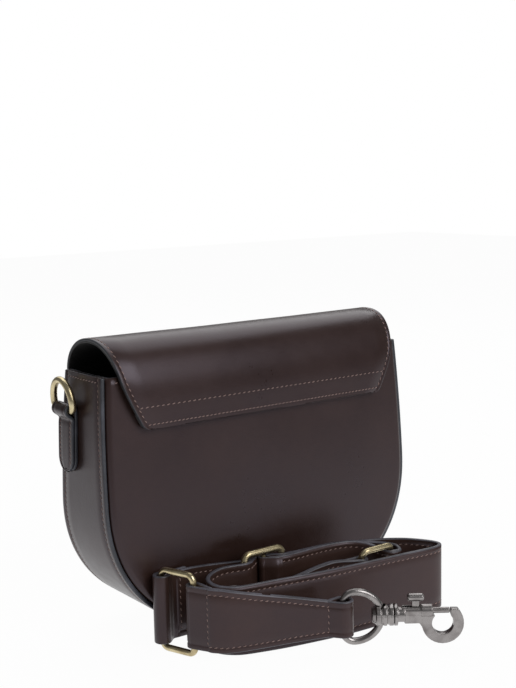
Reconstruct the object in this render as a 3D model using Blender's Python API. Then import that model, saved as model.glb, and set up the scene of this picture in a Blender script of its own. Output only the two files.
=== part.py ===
"""Leather saddle handbag, with its detached shoulder strap standing coiled in front of it.

Metres, +Z up, the bag's front towards -Y. The origin is on the ground under the middle
of the bag. A name that ends in _degrees is an angle, one in _share or _shares is a share
of the size that it follows, and one in _steps or _count is a count.
"""
import math

import bmesh
import bpy
from mathutils import Matrix, Vector

# Bag body
bag_width = 0.225
mouth_width = 0.219
bag_height = 0.158
widest_height = 0.083
base_flat_width = 0.036
base_depth = 0.062
mouth_depth = 0.043
side_roundness_share = 2.21
base_roundness_share = 2.18
round_steps = 16
wall_steps = 6

# Leather thicknesses, and the gap that neighbours keep
panel_leather = 0.0018
gusset_leather = 0.0024
lining_leather = 0.0007
fit_gap = 0.0003

# Moulded panels
panel_stand_out = 0.0026
panel_bend_radius = 0.0035
panel_flange_width = 0.011
bend_steps = 4

# Flap, from its hinge line on the back panel to its straight lower edge: how far its ridge
# rises above the bag's mouth, and how far below the mouth it hangs straight and ends
flap_ridge_rise = 0.0198
flap_hang_drop = 0.022
flap_bottom_drop = 0.031
flap_root_width = 0.2140
flap_ridge_width = 0.2100
flap_shoulder_width = 0.2020
flap_bottom_width = 0.1750
flap_corner_radius = 0.003
flap_front_roundness_share = 2.4
flap_taper_share = 1.3
flap_rear_roundness_share = 2.1
flap_quarter_steps = 12
flap_hang_steps = 6
flap_strip_height = 0.0125
flap_strip_leather = 0.0010

# Magnetic snap, its drop below the mouth, and the room between its stud and the flap's lining
snap_drop = 0.0150
snap_room = 0.000698101
snap_radius = 0.006
snap_core_radius = 0.0025
snap_socket_thickness = 0.0010
snap_stud_thickness = 0.0006
snap_clearance = 0.0004
snap_steps = 24

# Side tabs, folded round the bars of their D-rings; the drops are below the bag's mouth
side_tab_width = 0.017
side_tab_leather = 0.0018
side_tab_centre_depth = 0.0125
side_tab_bottom_drop = 0.058
side_tab_roll_drop = 0.0215
side_tab_roll_offset = 0.0025
side_tab_steps = 9
side_ring_opening = 0.019
side_ring_depth = 0.0175
side_ring_wire = 0.0036
side_ring_corner = 0.0040
side_ring_tilt_degrees = 6
side_tab_crowding_share = 0.5
side_tab_tip_share = 0.25

# Shoulder strap
strap_width = 0.040
strap_thickness = 0.0024
strap_roll_ply = 0.0028
strap_slider_ply = 0.0012
roll_clearance = 0.0004
roll_steps = 12
route_steps = 3
weave_corner_share = 0.72
strap_end_offset_share = 1.6

# The coil's plan: its left end and its far side, its length and its depth
coil_left = -0.085
coil_far = -0.038
coil_length = 0.170
coil_depth = 0.052
coil_lean = 0.005

# Rectangular rings and the slider
ring_wire = 0.0038
ring_opening_height = 0.042
ring_bar_spacing = 0.0225
ring_corner_radius = 0.004
slider_bar_spacing = 0.0137
slider_bar_wire = 0.0030
corner_steps = 4

# Connectors between the rectangular rings and the hooks' D-rings
connector_wide_width = 0.0365
connector_narrow_width = 0.0210
connector_straight_share = 0.12
connector_roll_clearance = 0.0012
connector_leather = 0.0020
hook_ring_opening = 0.025
hook_ring_depth = 0.0220
hook_ring_wire = 0.0036
hook_ring_height = 0.0200
hook_ring_corner = 0.0065
ring_arch_steps = 12

# Headings of the rings, D-rings and hooks on the ground, and the lean of the loop's ring
end_ring_heading_degrees = -70
loop_ring_heading_degrees = 179
loop_ring_lean_degrees = 23.6
end_d_heading_degrees = -31.5
loop_d_heading_degrees = -8
end_hook_heading_degrees = -36
loop_hook_heading_degrees = -5

# Their places as shares along and across the coil
end_bar_share = (0, 0)
loop_bar_share = (0.8118, 0.6269)
slider_left_share = (0.293, 0.22)
end_d_bar_share = (0.46, 1.275)
loop_d_bar_share = (0.157, 0.38)

# The strap's outer turn as shares: along the coil, across it, of the lift and of the lean
outer_run_shares = [
    (0.055, -0.01, 1.0, 0), (0.12, -0.02, 0.9, 0), (0.21, -0.03, 0.6, 0), (0.32, -0.01, 0.2, 0),
    (0.44, 0.03, 0, 0), (0.56, 0.08, 0, 0), (0.68, 0.145, 0, 0), (0.77, 0.22, 0, 0),
    (0.85, 0.32, 0, 0), (0.905, 0.43, 0, 0), (0.95, 0.55, 0, 0), (0.98, 0.68, 0, 0),
    (1.0, 0.80, 0, 0), (1.008, 0.895, 0, 0), (1.0, 0.965, 0, 0), (0.975, 1.0, 0, 0),
    (0.93, 1.0, 0, 0), (0.82, 0.965, 0, 0.2), (0.655, 0.925, 0, 0.8), (0.545, 0.89, 0, 1),
    (0.44, 0.835, 0, 1), (0.325, 0.76, 0, 1), (0.235, 0.70, 0, 0.5), (0.18, 0.65, 0, 0.2),
    (0.14, 0.58, 0.1, 0), (0.118, 0.49, 0.2, 0), (0.112, 0.40, 0.4, 0), (0.122, 0.315, 0.6, 0),
    (0.15, 0.26, 0.8, 0), (0.19, 0.24, 1, 0), (0.23, 0.25, 1, 0),
]

# From the slider to the loop's ring and back: shares along and across the coil, of the ring's
# lean and of the lift at the rings. Between the two runs the strap goes round the ring's bar
inner_run_shares = [
    (0.4882, 0.2846, 0, 0.94), (0.5294, 0.2769, 0, 0.85), (0.6059, 0.25, 0, 0.7),
    (0.6706, 0.2462, 0.05, 0.62), (0.7235, 0.2942, 0.19, 0.62), (0.7588, 0.3365, 0.31, 0.65),
    (0.7941, 0.3942, 0.5, 0.7), (0.8235, 0.4519, 0.69, 0.8), (0.8441, 0.5288, 0.81, 0.9),
    (0.8506, 0.6, 0.91, 1), (0.8447, 0.6615, 0.97, 1), (0.8329, 0.7077, 1, 1),
]
wrap_degrees = (-90, -135, -180)
fixed_run_shares = [
    (0.7882, 0.5673, 1, 1), (0.7788, 0.4923, 0.8, 1), (0.7559, 0.4269, 0.5, 1),
    (0.7176, 0.3769, 0.2, 1), (0.6647, 0.35, 0.05, 1), (0.5941, 0.3385, 0, 1),
    (0.5294, 0.3404, 0, 1),
]

# The connectors' paths: shares along and across the coil, and of the ring's lean
end_connector_shares = [
    (0.04941, 0.5231, 0), (0.07059, 0.6596, 0), (0.1235, 0.7885, 0), (0.2118, 0.9192, 0),
    (0.3118, 1.05, 0), (0.3971, 1.177, 0),
]
loop_connector_shares = [
    (0.6529, 0.6231, 1), (0.6176, 0.6308, 0.75), (0.5706, 0.6385, 0.35), (0.5118, 0.6462, 0.05),
    (0.4412, 0.6462, 0), (0.3706, 0.6346, 0), (0.3235, 0.6212, 0), (0.2853, 0.6115, 0),
    (0.2471, 0.6019, 0), (0.2059, 0.55, 0), (0.1753, 0.4846, 0),
]

# Swivel bolt hooks: lengths run along the hook from the middle of its eye
hook_height = 0.0203
eye_hole_radius = 0.0030
eye_start = 0.0056
eye_end_radius = 0.0040
drum_radius = 0.0052
rib_radius = 0.0063
rib_edges = (-0.0032, -0.0008, 0.0012, 0.0026, 0.0046, 0.0064)
rib_slope = 0.0004
eye_hole_setback = 0.0006
stem_radius = 0.0016
stem_head_start = 0.0105
stem_head_end = 0.0114
stem_head_radius = 0.0023
swivel_clearance = 0.0003
collar_start = 0.0069
collar_end = 0.0088
boss_end = 0.0130
boss_radius = 0.0044
barrel_start = 0.0114
barrel_end = 0.0284
barrel_radius = 0.0032
barrel_collar_start = 0.0220
barrel_collar_radius = 0.0037
bolt_rise = 0.0020
bolt_radius = 0.0017
bore_radius = 0.0020
bolt_back = 0.0176
bolt_tip = 0.0384
bolt_travel = 0.0050
knob_stem_start = 0.0170
knob_stem_end = 0.0212
knob_stem_half_width = 0.0011
knob_start = 0.0144
knob_end = 0.0238
knob_bottom = 0.0077
knob_radius = 0.0022
knob_bevel = 0.0009
jaw_centre = 0.0344
jaw_drop = 0.0051
jaw_inner_radius = 0.0062
jaw_outer_radius = 0.0119
jaw_half_thickness = 0.0023
jaw_first_degrees = 135
jaw_last_degrees = 403
jaw_lip = 0.0002
jaw_steps = 24
web_drop = 0.0050
web_step = 0.0002
spring_wire = 0.0005
spring_radius = 0.0013
spring_turn_count = 5
spring_turn_steps = 8
turned_steps = 20
slider_bar_steps = 12
bolt_bevel_share = 0.25
cut_overrun = 0.001

# Each material's colour as linear red, green and blue shares, its roughness and its metal share
leather_shares = (0.035, 0.021, 0.020, 0.38, 0)
lining_shares = (0.012, 0.010, 0.010, 0.6, 0)
brass_shares = (0.43, 0.32, 0.13, 0.28, 1)
nickel_shares = (0.32, 0.28, 0.25, 0.3, 1)
steel_shares = (0.5, 0.5, 0.5, 0.35, 1)

# How round wires are cut into flats, and the angle past which an edge stays sharp
wire_round_steps = 2
spring_round_steps = 1
sharp_edge_degrees = 35
middle_share = 0.5


# Sizes that follow from the ones above
panel_inset = gusset_leather + fit_gap
lining_inset = panel_inset + panel_bend_radius + fit_gap
hinge_depth = mouth_depth / 2 + panel_stand_out
flap_root_height = bag_height + fit_gap
flap_ridge_height = bag_height + flap_ridge_rise
flap_hang_height = bag_height - flap_hang_drop
flap_bottom_height = bag_height - flap_bottom_drop
snap_height = bag_height - snap_drop
side_tab_bottom_height = bag_height - side_tab_bottom_drop
side_tab_roll_height = bag_height - side_tab_roll_drop
flap_hinge = (0, hinge_depth, bag_height + fit_gap / 2)
side_hole = side_ring_wire / 2 + roll_clearance
ring_hole = ring_wire / 2 + roll_clearance
slider_bar_hole = slider_bar_wire / 2 + roll_clearance
ring_outer_height = ring_opening_height + 2 * ring_wire
ring_middle_height = ring_outer_height / 2
strap_lift = ring_wire + (ring_opening_height - strap_width) / 2


def material(name, shares):
    """A plain material with the piece's own colour."""
    red, green, blue, roughness, metallic = shares
    made = bpy.data.materials.new(name)
    made.use_nodes = True
    shader = made.node_tree.nodes["Principled BSDF"]
    shader.inputs["Base Color"].default_value = (red, green, blue, 1)
    shader.inputs["Roughness"].default_value = roughness
    shader.inputs["Metallic"].default_value = metallic
    return made


def add_object(name, shape, finish):
    """Wrap a bmesh in an object, with its faces outward and its round faces smooth."""
    bmesh.ops.recalc_face_normals(shape, faces=shape.faces)
    if shape.calc_volume(signed=True) < 0:
        bmesh.ops.reverse_faces(shape, faces=shape.faces)
    mesh = bpy.data.meshes.new(name)
    shape.to_mesh(mesh)
    shape.free()
    mesh.materials.append(finish)
    mesh.shade_smooth()
    mesh.set_sharp_from_angle(angle=math.radians(sharp_edge_degrees))
    piece = bpy.data.objects.new(name, mesh)
    bpy.context.scene.collection.objects.link(piece)
    return piece


def smooth_route(points, steps):
    """A smooth curve through the points, which may have any number of coordinates."""
    route = [Vector(point) for point in points]
    guide = [route[0] * 2 - route[1]] + route + [route[-1] * 2 - route[-2]]
    curve = []
    for before, start, end, after in zip(guide, guide[1:], guide[2:], guide[3:]):
        for step in range(steps):
            t = step / steps
            bend = (end - before) * t
            bend += (before * 2 - start * 5 + end * 4 - after) * t ** 2
            bend += (start * 3 - before - end * 3 + after) * t ** 3
            curve.append(start + bend / 2)
    curve.append(route[-1])
    return curve


def outline(inset):
    """The bag's outline from the left end of the mouth, under the base, to the right end.

    inset moves it inwards, square to itself. The points are pairs of x and z."""
    half = bag_width / 2
    flat = base_flat_width / 2
    right = [(0, 0)]
    for step in range(round_steps + 1):
        turn = math.pi / 2 * step / round_steps
        across = math.sin(turn) ** (2 / side_roundness_share)
        up = abs(math.cos(turn)) ** (2 / base_roundness_share)
        right.append((flat + (half - flat) * across, widest_height * (1 - up)))
    for step in range(1, wall_steps + 1):
        share = step / wall_steps
        x = half - (bag_width - mouth_width) / 2 * share ** 2
        right.append((x, widest_height + (bag_height - widest_height) * share))
    moved = []
    for index, (x, z) in enumerate(right):
        before = right[max(index - 1, 0)]
        after = right[min(index + 1, len(right) - 1)]
        along = Vector((after[0] - before[0], after[1] - before[1])).normalized()
        if index < 2:
            along = Vector((1, 0))
        moved.append((x - along.y * inset, z + along.x * inset))
    moved[-1] = (moved[-1][0], bag_height)
    return [(-x, z) for x, z in reversed(moved[1:])] + moved


def half_depth(z):
    """Half the gusset's depth at a height: the panels lean towards each other."""
    return (base_depth + (mouth_depth - base_depth) * z / bag_height) / 2


def ring_of_outline(shape, inset, forward, side):
    """One line of vertices along the outline, forward of the gusset's edge."""
    return [shape.verts.new((x, side * (half_depth(z) + forward), z)) for x, z in outline(inset)]


def bridge(shape, first, second):
    """Faces between two lines of as many vertices."""
    for a, b, c, d in zip(first, first[1:], second[1:], second):
        shape.faces.new((a, b, c, d))


def moulded_panel(name, side, finish):
    """A panel with a round bend and a flange, which the gusset is laid over."""
    bend_start = panel_stand_out - panel_bend_radius
    inner_radius = panel_bend_radius - panel_leather
    middle = panel_inset + panel_bend_radius
    outer = [(panel_inset, -panel_flange_width)]
    inner = [(panel_inset + panel_leather, -panel_flange_width)]
    for step in range(bend_steps + 1):
        turn = math.pi / 2 * step / bend_steps
        for line, radius in ((outer, panel_bend_radius), (inner, inner_radius)):
            line.append((middle - radius * math.cos(turn), bend_start + radius * math.sin(turn)))
    shape = bmesh.new()
    skins = [[ring_of_outline(shape, *station, side) for station in line] for line in (outer, inner)]
    for rings in skins:
        for first, second in zip(rings, rings[1:]):
            bridge(shape, first, second)
        shape.faces.new(rings[-1])
    bridge(shape, skins[0][0], skins[1][0])
    for end in (0, -1):
        lines = [[ring[end] for ring in rings] for rings in skins]
        bridge(shape, *lines)
    outer_face, inner_face = (rings[-1] for rings in skins)
    shape.faces.new((outer_face[0], outer_face[-1], inner_face[-1], inner_face[0]))
    return add_object(name, shape, finish)


def gusset_band(name, inset, thickness, forward, finish):
    """A band round the outline, from the front edge to the back edge."""
    shape = bmesh.new()
    corners = [(inset, -1), (inset, 1), (inset + thickness, 1), (inset + thickness, -1)]
    rings = [ring_of_outline(shape, depth, forward, side) for depth, side in corners]
    for first, second in zip(rings, rings[1:] + rings[:1]):
        bridge(shape, first, second)
    for end in (0, -1):
        shape.faces.new([ring[end] for ring in rings])
    return add_object(name, shape, finish)


def flat_lining(name, side, finish):
    """A flat lining behind a panel's face, inside its bend."""
    shape = bmesh.new()
    face = panel_stand_out - panel_leather - fit_gap
    rings = []
    for forward in (face, face - lining_leather):
        rings.append(ring_of_outline(shape, lining_inset, forward, side))
    for ring in rings:
        shape.faces.new(ring)
    bridge(shape, *rings)
    shape.faces.new((rings[0][0], rings[0][-1], rings[1][-1], rings[1][0]))
    return add_object(name, shape, finish)


def flap_front_reach():
    """How far forward the flap hangs, to clear the snap that the front panel carries."""
    panel_face = half_depth(snap_height) + panel_stand_out
    snap = fit_gap + snap_socket_thickness + snap_clearance + snap_stud_thickness
    plies = lining_leather + fit_gap + panel_leather
    return panel_face + snap + snap_room + plies


def flap_line():
    """The flap's outer line in side view, as y, z and half its width there."""
    points = []
    reach = flap_front_reach()
    rear_rise = flap_ridge_height - flap_root_height
    front_rise = flap_ridge_height - flap_hang_height
    for step in range(flap_quarter_steps):
        turn = math.pi / 2 * step / flap_quarter_steps
        power = 2 / flap_rear_roundness_share
        y = hinge_depth * math.cos(turn) ** power
        z = flap_root_height + rear_rise * math.sin(turn) ** power
        share = step / flap_quarter_steps
        points.append((y, z, flap_root_width + (flap_ridge_width - flap_root_width) * share))
    for step in range(flap_quarter_steps + 1):
        turn = math.pi / 2 * step / flap_quarter_steps
        power = 2 / flap_front_roundness_share
        y = -reach * math.sin(turn) ** power
        z = flap_hang_height + front_rise * abs(math.cos(turn)) ** power
        points.append((y, z, None))
    drop = flap_hang_height - flap_bottom_height
    for step in range(1, flap_hang_steps + 1):
        share = 1 - (1 - step / flap_hang_steps) ** 2
        points.append((-reach, flap_hang_height - drop * share, None))
    line = []
    for y, z, width in points:
        line.append(Vector((y, z, flap_half_width(z) if width is None else width / 2)))
    return line


def flap_half_width(z):
    """Half the flap's width in front: it narrows to the shoulder, then more to its corner."""
    if z > bag_height:
        share = (flap_ridge_height - z) / (flap_ridge_height - bag_height)
        return (flap_ridge_width + (flap_shoulder_width - flap_ridge_width) * share) / 2
    share = ((bag_height - z) / (bag_height - flap_bottom_height)) ** flap_taper_share
    half = (flap_shoulder_width + (flap_bottom_width - flap_shoulder_width) * share) / 2
    below = flap_corner_radius - (z - flap_bottom_height)
    if below > 0:
        half -= flap_corner_radius - math.sqrt(flap_corner_radius ** 2 - below ** 2)
    return half


def offset_line(line, inset):
    """A side-view line moved towards the inside of the flap, square to itself."""
    moved = []
    for index, point in enumerate(line):
        before = line[max(index - 1, 0)]
        after = line[min(index + 1, len(line) - 1)]
        along = Vector((after.x - before.x, after.y - before.y)).normalized()
        if index == 0:
            along = Vector((0, 1))
        moved.append(Vector((point.x - along.y * inset, point.y + along.x * inset, point.z)))
    return moved


def flap_ply(name, line, first_inset, last_inset, finish, top=flap_ridge_height):
    """One ply of the flap between two insets from its outer line, up to a height."""
    shape = bmesh.new()
    rows = []
    first = 0
    if top < flap_ridge_height:
        first = next(index for index, point in enumerate(line) if line[index - 1].y > top > point.y)
    for inset in (first_inset, last_inset):
        moved = offset_line(line, inset)[first:]
        for side in (-1, 1):
            rows.append([shape.verts.new((side * point.z, point.x, point.y)) for point in moved])
    outer_left, outer_right, inner_left, inner_right = rows
    around = (outer_left, outer_right, inner_right, inner_left, outer_left)
    for here, there in zip(around, around[1:]):
        bridge(shape, here, there)
    for end in (0, -1):
        shape.faces.new((outer_left[end], outer_right[end], inner_right[end], inner_left[end]))
    return add_object(name, shape, finish)


def set_origin(piece, place):
    """Move a piece's origin to a joint's axis and leave its shape where it is."""
    piece.data.transform(Matrix.Translation(-Vector(place)))
    piece.location = place


def turned(name, profile, finish, steps=turned_steps, closed=False):
    """A solid turned about Z from pairs of radius and height; one that misses Z is closed."""
    shape = bmesh.new()
    rows = []
    for radius, height in profile:
        if radius == 0:
            rows.append([shape.verts.new((0, 0, height))] * (steps + 1))
            continue
        row = []
        for step in range(steps):
            turn = 2 * math.pi * step / steps
            row.append(shape.verts.new((radius * math.cos(turn), radius * math.sin(turn), height)))
        rows.append(row + row[:1])
    pairs = list(zip(rows, rows[1:]))
    if closed:
        pairs.append((rows[-1], rows[0]))
    for first, second in pairs:
        for a, b, c, d in zip(first, first[1:], second[1:], second):
            corners = list(dict.fromkeys((a, b, c, d)))
            if len(corners) > 2:
                shape.faces.new(corners)
    return add_object(name, shape, finish)


def band_region(path, half_thickness, start_roll=None, end_roll=None):
    """A flat band along a plan path, with a roll round a bar at either end.

    A roll is the bar's place, the hole's radius and the ply's thickness. It returns the
    band's plan points, each with its index along the path, and its faces."""
    places = []
    faces = []

    def put(point, index):
        places.append((Vector(point[:2]), index))
        return len(places) - 1

    def roll(bar, hole, ply, towards, index):
        """A closed ring of leather round a bar, open to the band on one side."""
        centre = Vector(bar[:2])
        heading = (Vector(towards[:2]) - centre).normalized()
        first = math.atan2(heading.y, heading.x)
        spread = math.asin(half_thickness / (hole + ply))
        rims = []
        for radius in (hole, hole + ply):
            rim = []
            for step in range(roll_steps + 1):
                turn = first + spread + 2 * (math.pi - spread) * step / roll_steps
                rim.append(put(centre + radius * Vector((math.cos(turn), math.sin(turn))), index))
            rims.append(rim)
        inner, outer = (rim + rim[:1] for rim in rims)
        for a, b, c, d in zip(inner, inner[1:], outer[1:], outer):
            faces.append((a, b, c, d))
        return rims[1][0], rims[1][-1], centre + heading * (hole + ply) * math.cos(spread)

    plan = [Vector(point[:2]) for point in path]
    last = len(path) - 1
    pairs = []
    before_first, after_last = plan[0], plan[-1]
    if start_roll:
        left, right, before_first = roll(*start_roll, plan[0], 0)
        pairs.append((left, right))
    end_pair = None
    if end_roll:
        right, left, after_last = roll(*end_roll, plan[-1], last)
        end_pair = (left, right)
    for index, point in enumerate(plan):
        before = plan[index - 1] if index else before_first
        after = plan[index + 1] if index < last else after_last
        along = (after - before).normalized()
        across = Vector((-along.y, along.x)) * half_thickness
        pairs.append((put(point + across, index), put(point - across, index)))
    if end_pair:
        pairs.append(end_pair)
    for (left, right), (next_left, next_right) in zip(pairs, pairs[1:]):
        faces.append((left, right, next_right, next_left))
    return places, faces


def thick_region(name, region, place, finish):
    """A solid over a flat region; place gives a point's end on each of the two sides."""
    places, faces = region
    shape = bmesh.new()
    sides = [[shape.verts.new(place(point, index, side)) for point, index in places] for side in (0, 1)]
    edge_uses = {}
    for face in faces:
        for verts in sides:
            shape.faces.new([verts[corner] for corner in face])
        for a, b in zip(face, face[1:] + face[:1]):
            edge_uses.setdefault(frozenset((a, b)), []).append((a, b))
    for uses in edge_uses.values():
        if len(uses) == 1:
            a, b = uses[0]
            shape.faces.new((sides[0][a], sides[0][b], sides[1][b], sides[1][a]))
    return add_object(name, shape, finish)


def wire_loop(name, points, wire, place, heading_degrees, finish):
    """A closed loop of round wire through points of an upright plane; place is its bar."""
    curve = bpy.data.curves.new(name, "CURVE")
    curve.dimensions = "3D"
    curve.bevel_depth = wire / 2
    curve.bevel_resolution = wire_round_steps
    curve.use_fill_caps = True
    curve.render_resolution_u = 0
    spline = curve.splines.new("POLY")
    spline.points.add(len(points) - 1)
    for point, (out, up) in zip(spline.points, points):
        point.co = (out, 0, up, 1)
    spline.use_cyclic_u = True
    curve.materials.append(finish)
    piece = bpy.data.objects.new(name, curve)
    piece.location = place
    piece.rotation_euler = (0, 0, math.radians(heading_degrees))
    bpy.context.scene.collection.objects.link(piece)
    return piece


def rectangle_loop(width, height):
    """A rectangle with round corners, its first bar on the upright axis."""
    radius = ring_corner_radius
    high = height / 2 - radius
    far = width - radius
    points = []
    for quarter, (x, z) in enumerate(((far, high), (radius, high), (radius, -high), (far, -high))):
        for step in range(corner_steps + 1):
            turn = math.pi / 2 * (quarter + step / corner_steps)
            points.append((x + radius * math.cos(turn), z + radius * math.sin(turn)))
    return points


def d_loop(opening, depth, wire, corner):
    """A D: a straight bar on the upright axis, two round corners and an arch out to depth."""
    half = (opening + wire) / 2
    points = []
    for up in (-1, 1):
        bend = []
        for step in range(corner_steps + 1):
            turn = math.pi / 2 * step / corner_steps
            bend.append((corner - corner * math.cos(turn), up * (half - corner + corner * math.sin(turn))))
        points.append(bend)
    arch = []
    for step in range(1, ring_arch_steps):
        turn = math.pi * step / ring_arch_steps
        arch.append((corner + (depth - corner) * math.sin(turn), -half * math.cos(turn)))
    return points[0] + arch + points[1][::-1]


def combine(base, joined, cuts):
    """Join pieces to a base, then cut others out of it, and leave one plain mesh."""
    for operation, tools in (("UNION", joined), ("DIFFERENCE", cuts)):
        for tool in tools:
            modifier = base.modifiers.new(tool.name, "BOOLEAN")
            modifier.operation = operation
            modifier.object = tool
            modifier.solver = "EXACT"
    evaluated = base.evaluated_get(bpy.context.evaluated_depsgraph_get())
    mesh = bpy.data.meshes.new_from_object(evaluated)
    base.modifiers.clear()
    base.data = mesh
    mesh.shade_smooth()
    mesh.set_sharp_from_angle(angle=math.radians(sharp_edge_degrees))
    for tool in list(joined) + list(cuts):
        bpy.data.objects.remove(tool)
    return base


def along_hook(piece, rise=0):
    """Turn a piece that was turned about Z so that its axis runs along the hook."""
    piece.data.transform(Matrix.Translation((0, 0, rise)) @ Matrix.Rotation(math.pi / 2, 4, "Y"))
    return piece


def cylinder(name, radius, start, end, finish, rise=0):
    """A plain cylinder along the hook."""
    return along_hook(turned(name, [(0, start), (radius, start), (radius, end), (0, end)], finish), rise)


def box(name, low, high, finish):
    """A box between two corners."""
    shape = bmesh.new()
    bmesh.ops.create_cube(shape, size=1)
    for vert in shape.verts:
        vert.co = [low[axis] if vert.co[axis] < 0 else high[axis] for axis in range(3)]
    return add_object(name, shape, finish)


def hook_eye(name, finish):
    """The ribbed drum that the D-ring runs through, with the headed stem that the hook turns on."""
    profile = [(0, -eye_start), (eye_end_radius, -eye_start), (drum_radius, rib_edges[0] - rib_slope)]
    for start, end in zip(rib_edges[::2], rib_edges[1::2]):
        profile += [(rib_radius, start), (rib_radius, end)]
        if end < rib_edges[-1]:
            profile += [(drum_radius, end + rib_slope)]
    profile += [
        (stem_radius, rib_edges[-1]), (stem_radius, stem_head_start), (stem_head_radius, stem_head_start),
        (stem_head_radius, stem_head_end), (0, stem_head_end),
    ]
    drum = along_hook(turned(name, profile, finish))
    reach = rib_radius + cut_overrun
    hole_profile = [(0, -reach), (eye_hole_radius, -reach), (eye_hole_radius, reach), (0, reach)]
    hole = turned("hole", hole_profile, finish)
    hole.data.transform(Matrix.Translation((-eye_hole_setback, 0, 0)))
    return combine(drum, [], [hole])


def hook_jaw(finish):
    """The round jaw, open at its top, with a small flat lip under the bolt's end."""
    places = []
    faces = []
    for step in range(jaw_steps + 1):
        turn = math.radians(jaw_first_degrees + (jaw_last_degrees - jaw_first_degrees) * step / jaw_steps)
        for radius in (jaw_inner_radius, jaw_outer_radius):
            point = Vector((jaw_centre + radius * math.cos(turn), radius * math.sin(turn) - jaw_drop))
            places.append((point, step))
    for first in range(0, 2 * jaw_steps, 2):
        faces.append((first, first + 1, first + 3, first + 2))
    inner_end, outer_end = (point for point, step in places[-2:])
    places.append((Vector((inner_end.x, outer_end.y + jaw_lip)), jaw_steps))
    faces.append((2 * jaw_steps, 2 * jaw_steps + 1, 2 * jaw_steps + 2))
    return thick_region("jaw", (places, faces), across_hook(jaw_half_thickness), finish)


def hook_web(finish):
    """The flat web that joins the barrel to the jaw."""
    start = boss_end - web_step
    end = jaw_centre - (jaw_inner_radius + jaw_outer_radius) / 2
    corners = [
        (start, bolt_rise), (start, -web_drop), (knob_stem_end, -web_drop),
        (end, -jaw_drop - jaw_inner_radius), (end, bolt_rise),
    ]
    region = ([(Vector(corner), 0) for corner in corners], [tuple(range(len(corners)))])
    return thick_region("web", region, across_hook(jaw_half_thickness - web_step), finish)


def hook_cuts(finish):
    """The swivel's chamber, the bolt's bore and the slot that the knob's stem slides in."""
    clear = swivel_clearance
    chamber = [
        (0, collar_start - cut_overrun), (stem_radius + clear, collar_start - cut_overrun),
        (stem_radius + clear, stem_head_start - clear), (stem_head_radius + clear, stem_head_start - clear),
        (stem_head_radius + clear, stem_head_end + clear), (0, stem_head_end + clear),
    ]
    slot_low = (knob_stem_start - bolt_travel - clear, -knob_stem_half_width - clear, bolt_rise)
    slot_high = (knob_stem_end + clear, knob_stem_half_width + clear, knob_bottom)
    return [
        along_hook(turned("chamber", chamber, finish)),
        cylinder("bore", bore_radius, stem_head_end, barrel_end + cut_overrun, finish, bolt_rise),
        box("slot", slot_low, slot_high, finish),
    ]


def hook_body(name, finish):
    """Collar, bored barrel, web and round jaw."""
    collar = [
        (0, collar_start), (rib_radius, collar_start), (rib_radius, collar_end), (boss_radius, collar_end),
        (boss_radius, boss_end), (0, boss_end),
    ]
    body = along_hook(turned(name, collar, finish))
    barrel = cylinder("barrel", barrel_radius, barrel_start, barrel_end, finish, bolt_rise)
    rim_end = barrel_end + jaw_lip
    rim = cylinder("rim", barrel_collar_radius, barrel_collar_start, rim_end, finish, bolt_rise)
    return combine(body, [barrel, rim, hook_jaw(finish), hook_web(finish)], hook_cuts(finish))


def across_hook(half):
    """Places for a region in the hook's side view, half a thickness to each side."""
    return lambda point, index, side: (point.x, half * (2 * side - 1), point.y)


def hook_bolt(name, finish):
    """The sliding bolt, with the thumb knob on its stem."""
    edge = bolt_radius * bolt_bevel_share
    profile = [
        (0, bolt_back), (bolt_radius, bolt_back), (bolt_radius, bolt_tip - edge),
        (bolt_radius - edge, bolt_tip), (0, bolt_tip),
    ]
    bolt = along_hook(turned(name, profile, finish), bolt_rise)
    middle = knob_bottom + knob_radius
    stem_low = (knob_stem_start, -knob_stem_half_width, bolt_rise)
    stem_high = (knob_stem_end, knob_stem_half_width, middle)
    stem = box("knob stem", stem_low, stem_high, finish)
    small = knob_radius - knob_bevel
    pill = [
        (0, knob_start), (small, knob_start), (knob_radius, knob_start + knob_bevel),
        (knob_radius, knob_end - knob_bevel), (small, knob_end), (0, knob_end),
    ]
    knob = along_hook(turned("knob", pill, finish), middle)
    return combine(bolt, [stem, knob], [])


def hook_spring(name, finish):
    """The spring behind the bolt."""
    curve = bpy.data.curves.new(name, "CURVE")
    curve.dimensions = "3D"
    curve.bevel_depth = spring_wire / 2
    curve.bevel_resolution = spring_round_steps
    curve.use_fill_caps = True
    curve.render_resolution_u = 0
    start = stem_head_end + swivel_clearance + spring_wire / 2
    length = bolt_back - swivel_clearance - spring_wire / 2 - start
    count = spring_turn_count * spring_turn_steps
    spline = curve.splines.new("POLY")
    spline.points.add(count)
    for index, point in enumerate(spline.points):
        turn = 2 * math.pi * index / spring_turn_steps
        aside, rise = spring_radius * math.cos(turn), spring_radius * math.sin(turn)
        point.co = (start + length * index / count, aside, bolt_rise + rise, 1)
    curve.materials.append(finish)
    piece = bpy.data.objects.new(name, curve)
    bpy.context.scene.collection.objects.link(piece)
    return piece


def place_hook_piece(piece, place, heading_degrees):
    """Put a piece of a hook on the middle of its D-ring's arch."""
    piece.location = place
    piece.rotation_euler = (0, 0, math.radians(heading_degrees))


def plan_point(share):
    """A place on the ground from shares of the coil's length and depth."""
    return Vector((coil_left + coil_length * share[0], coil_far - coil_depth * share[1]))


def heading(degrees):
    """A direction on the ground."""
    return Vector((math.cos(math.radians(degrees)), math.sin(math.radians(degrees))))


def leaning(share, lift_share=1):
    """Lift and lean of a point that takes this share of the loop ring's lean."""
    lean = math.radians(loop_ring_lean_degrees) * share
    return strap_lift * lift_share * math.cos(lean), -strap_width * math.sin(lean)


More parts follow.
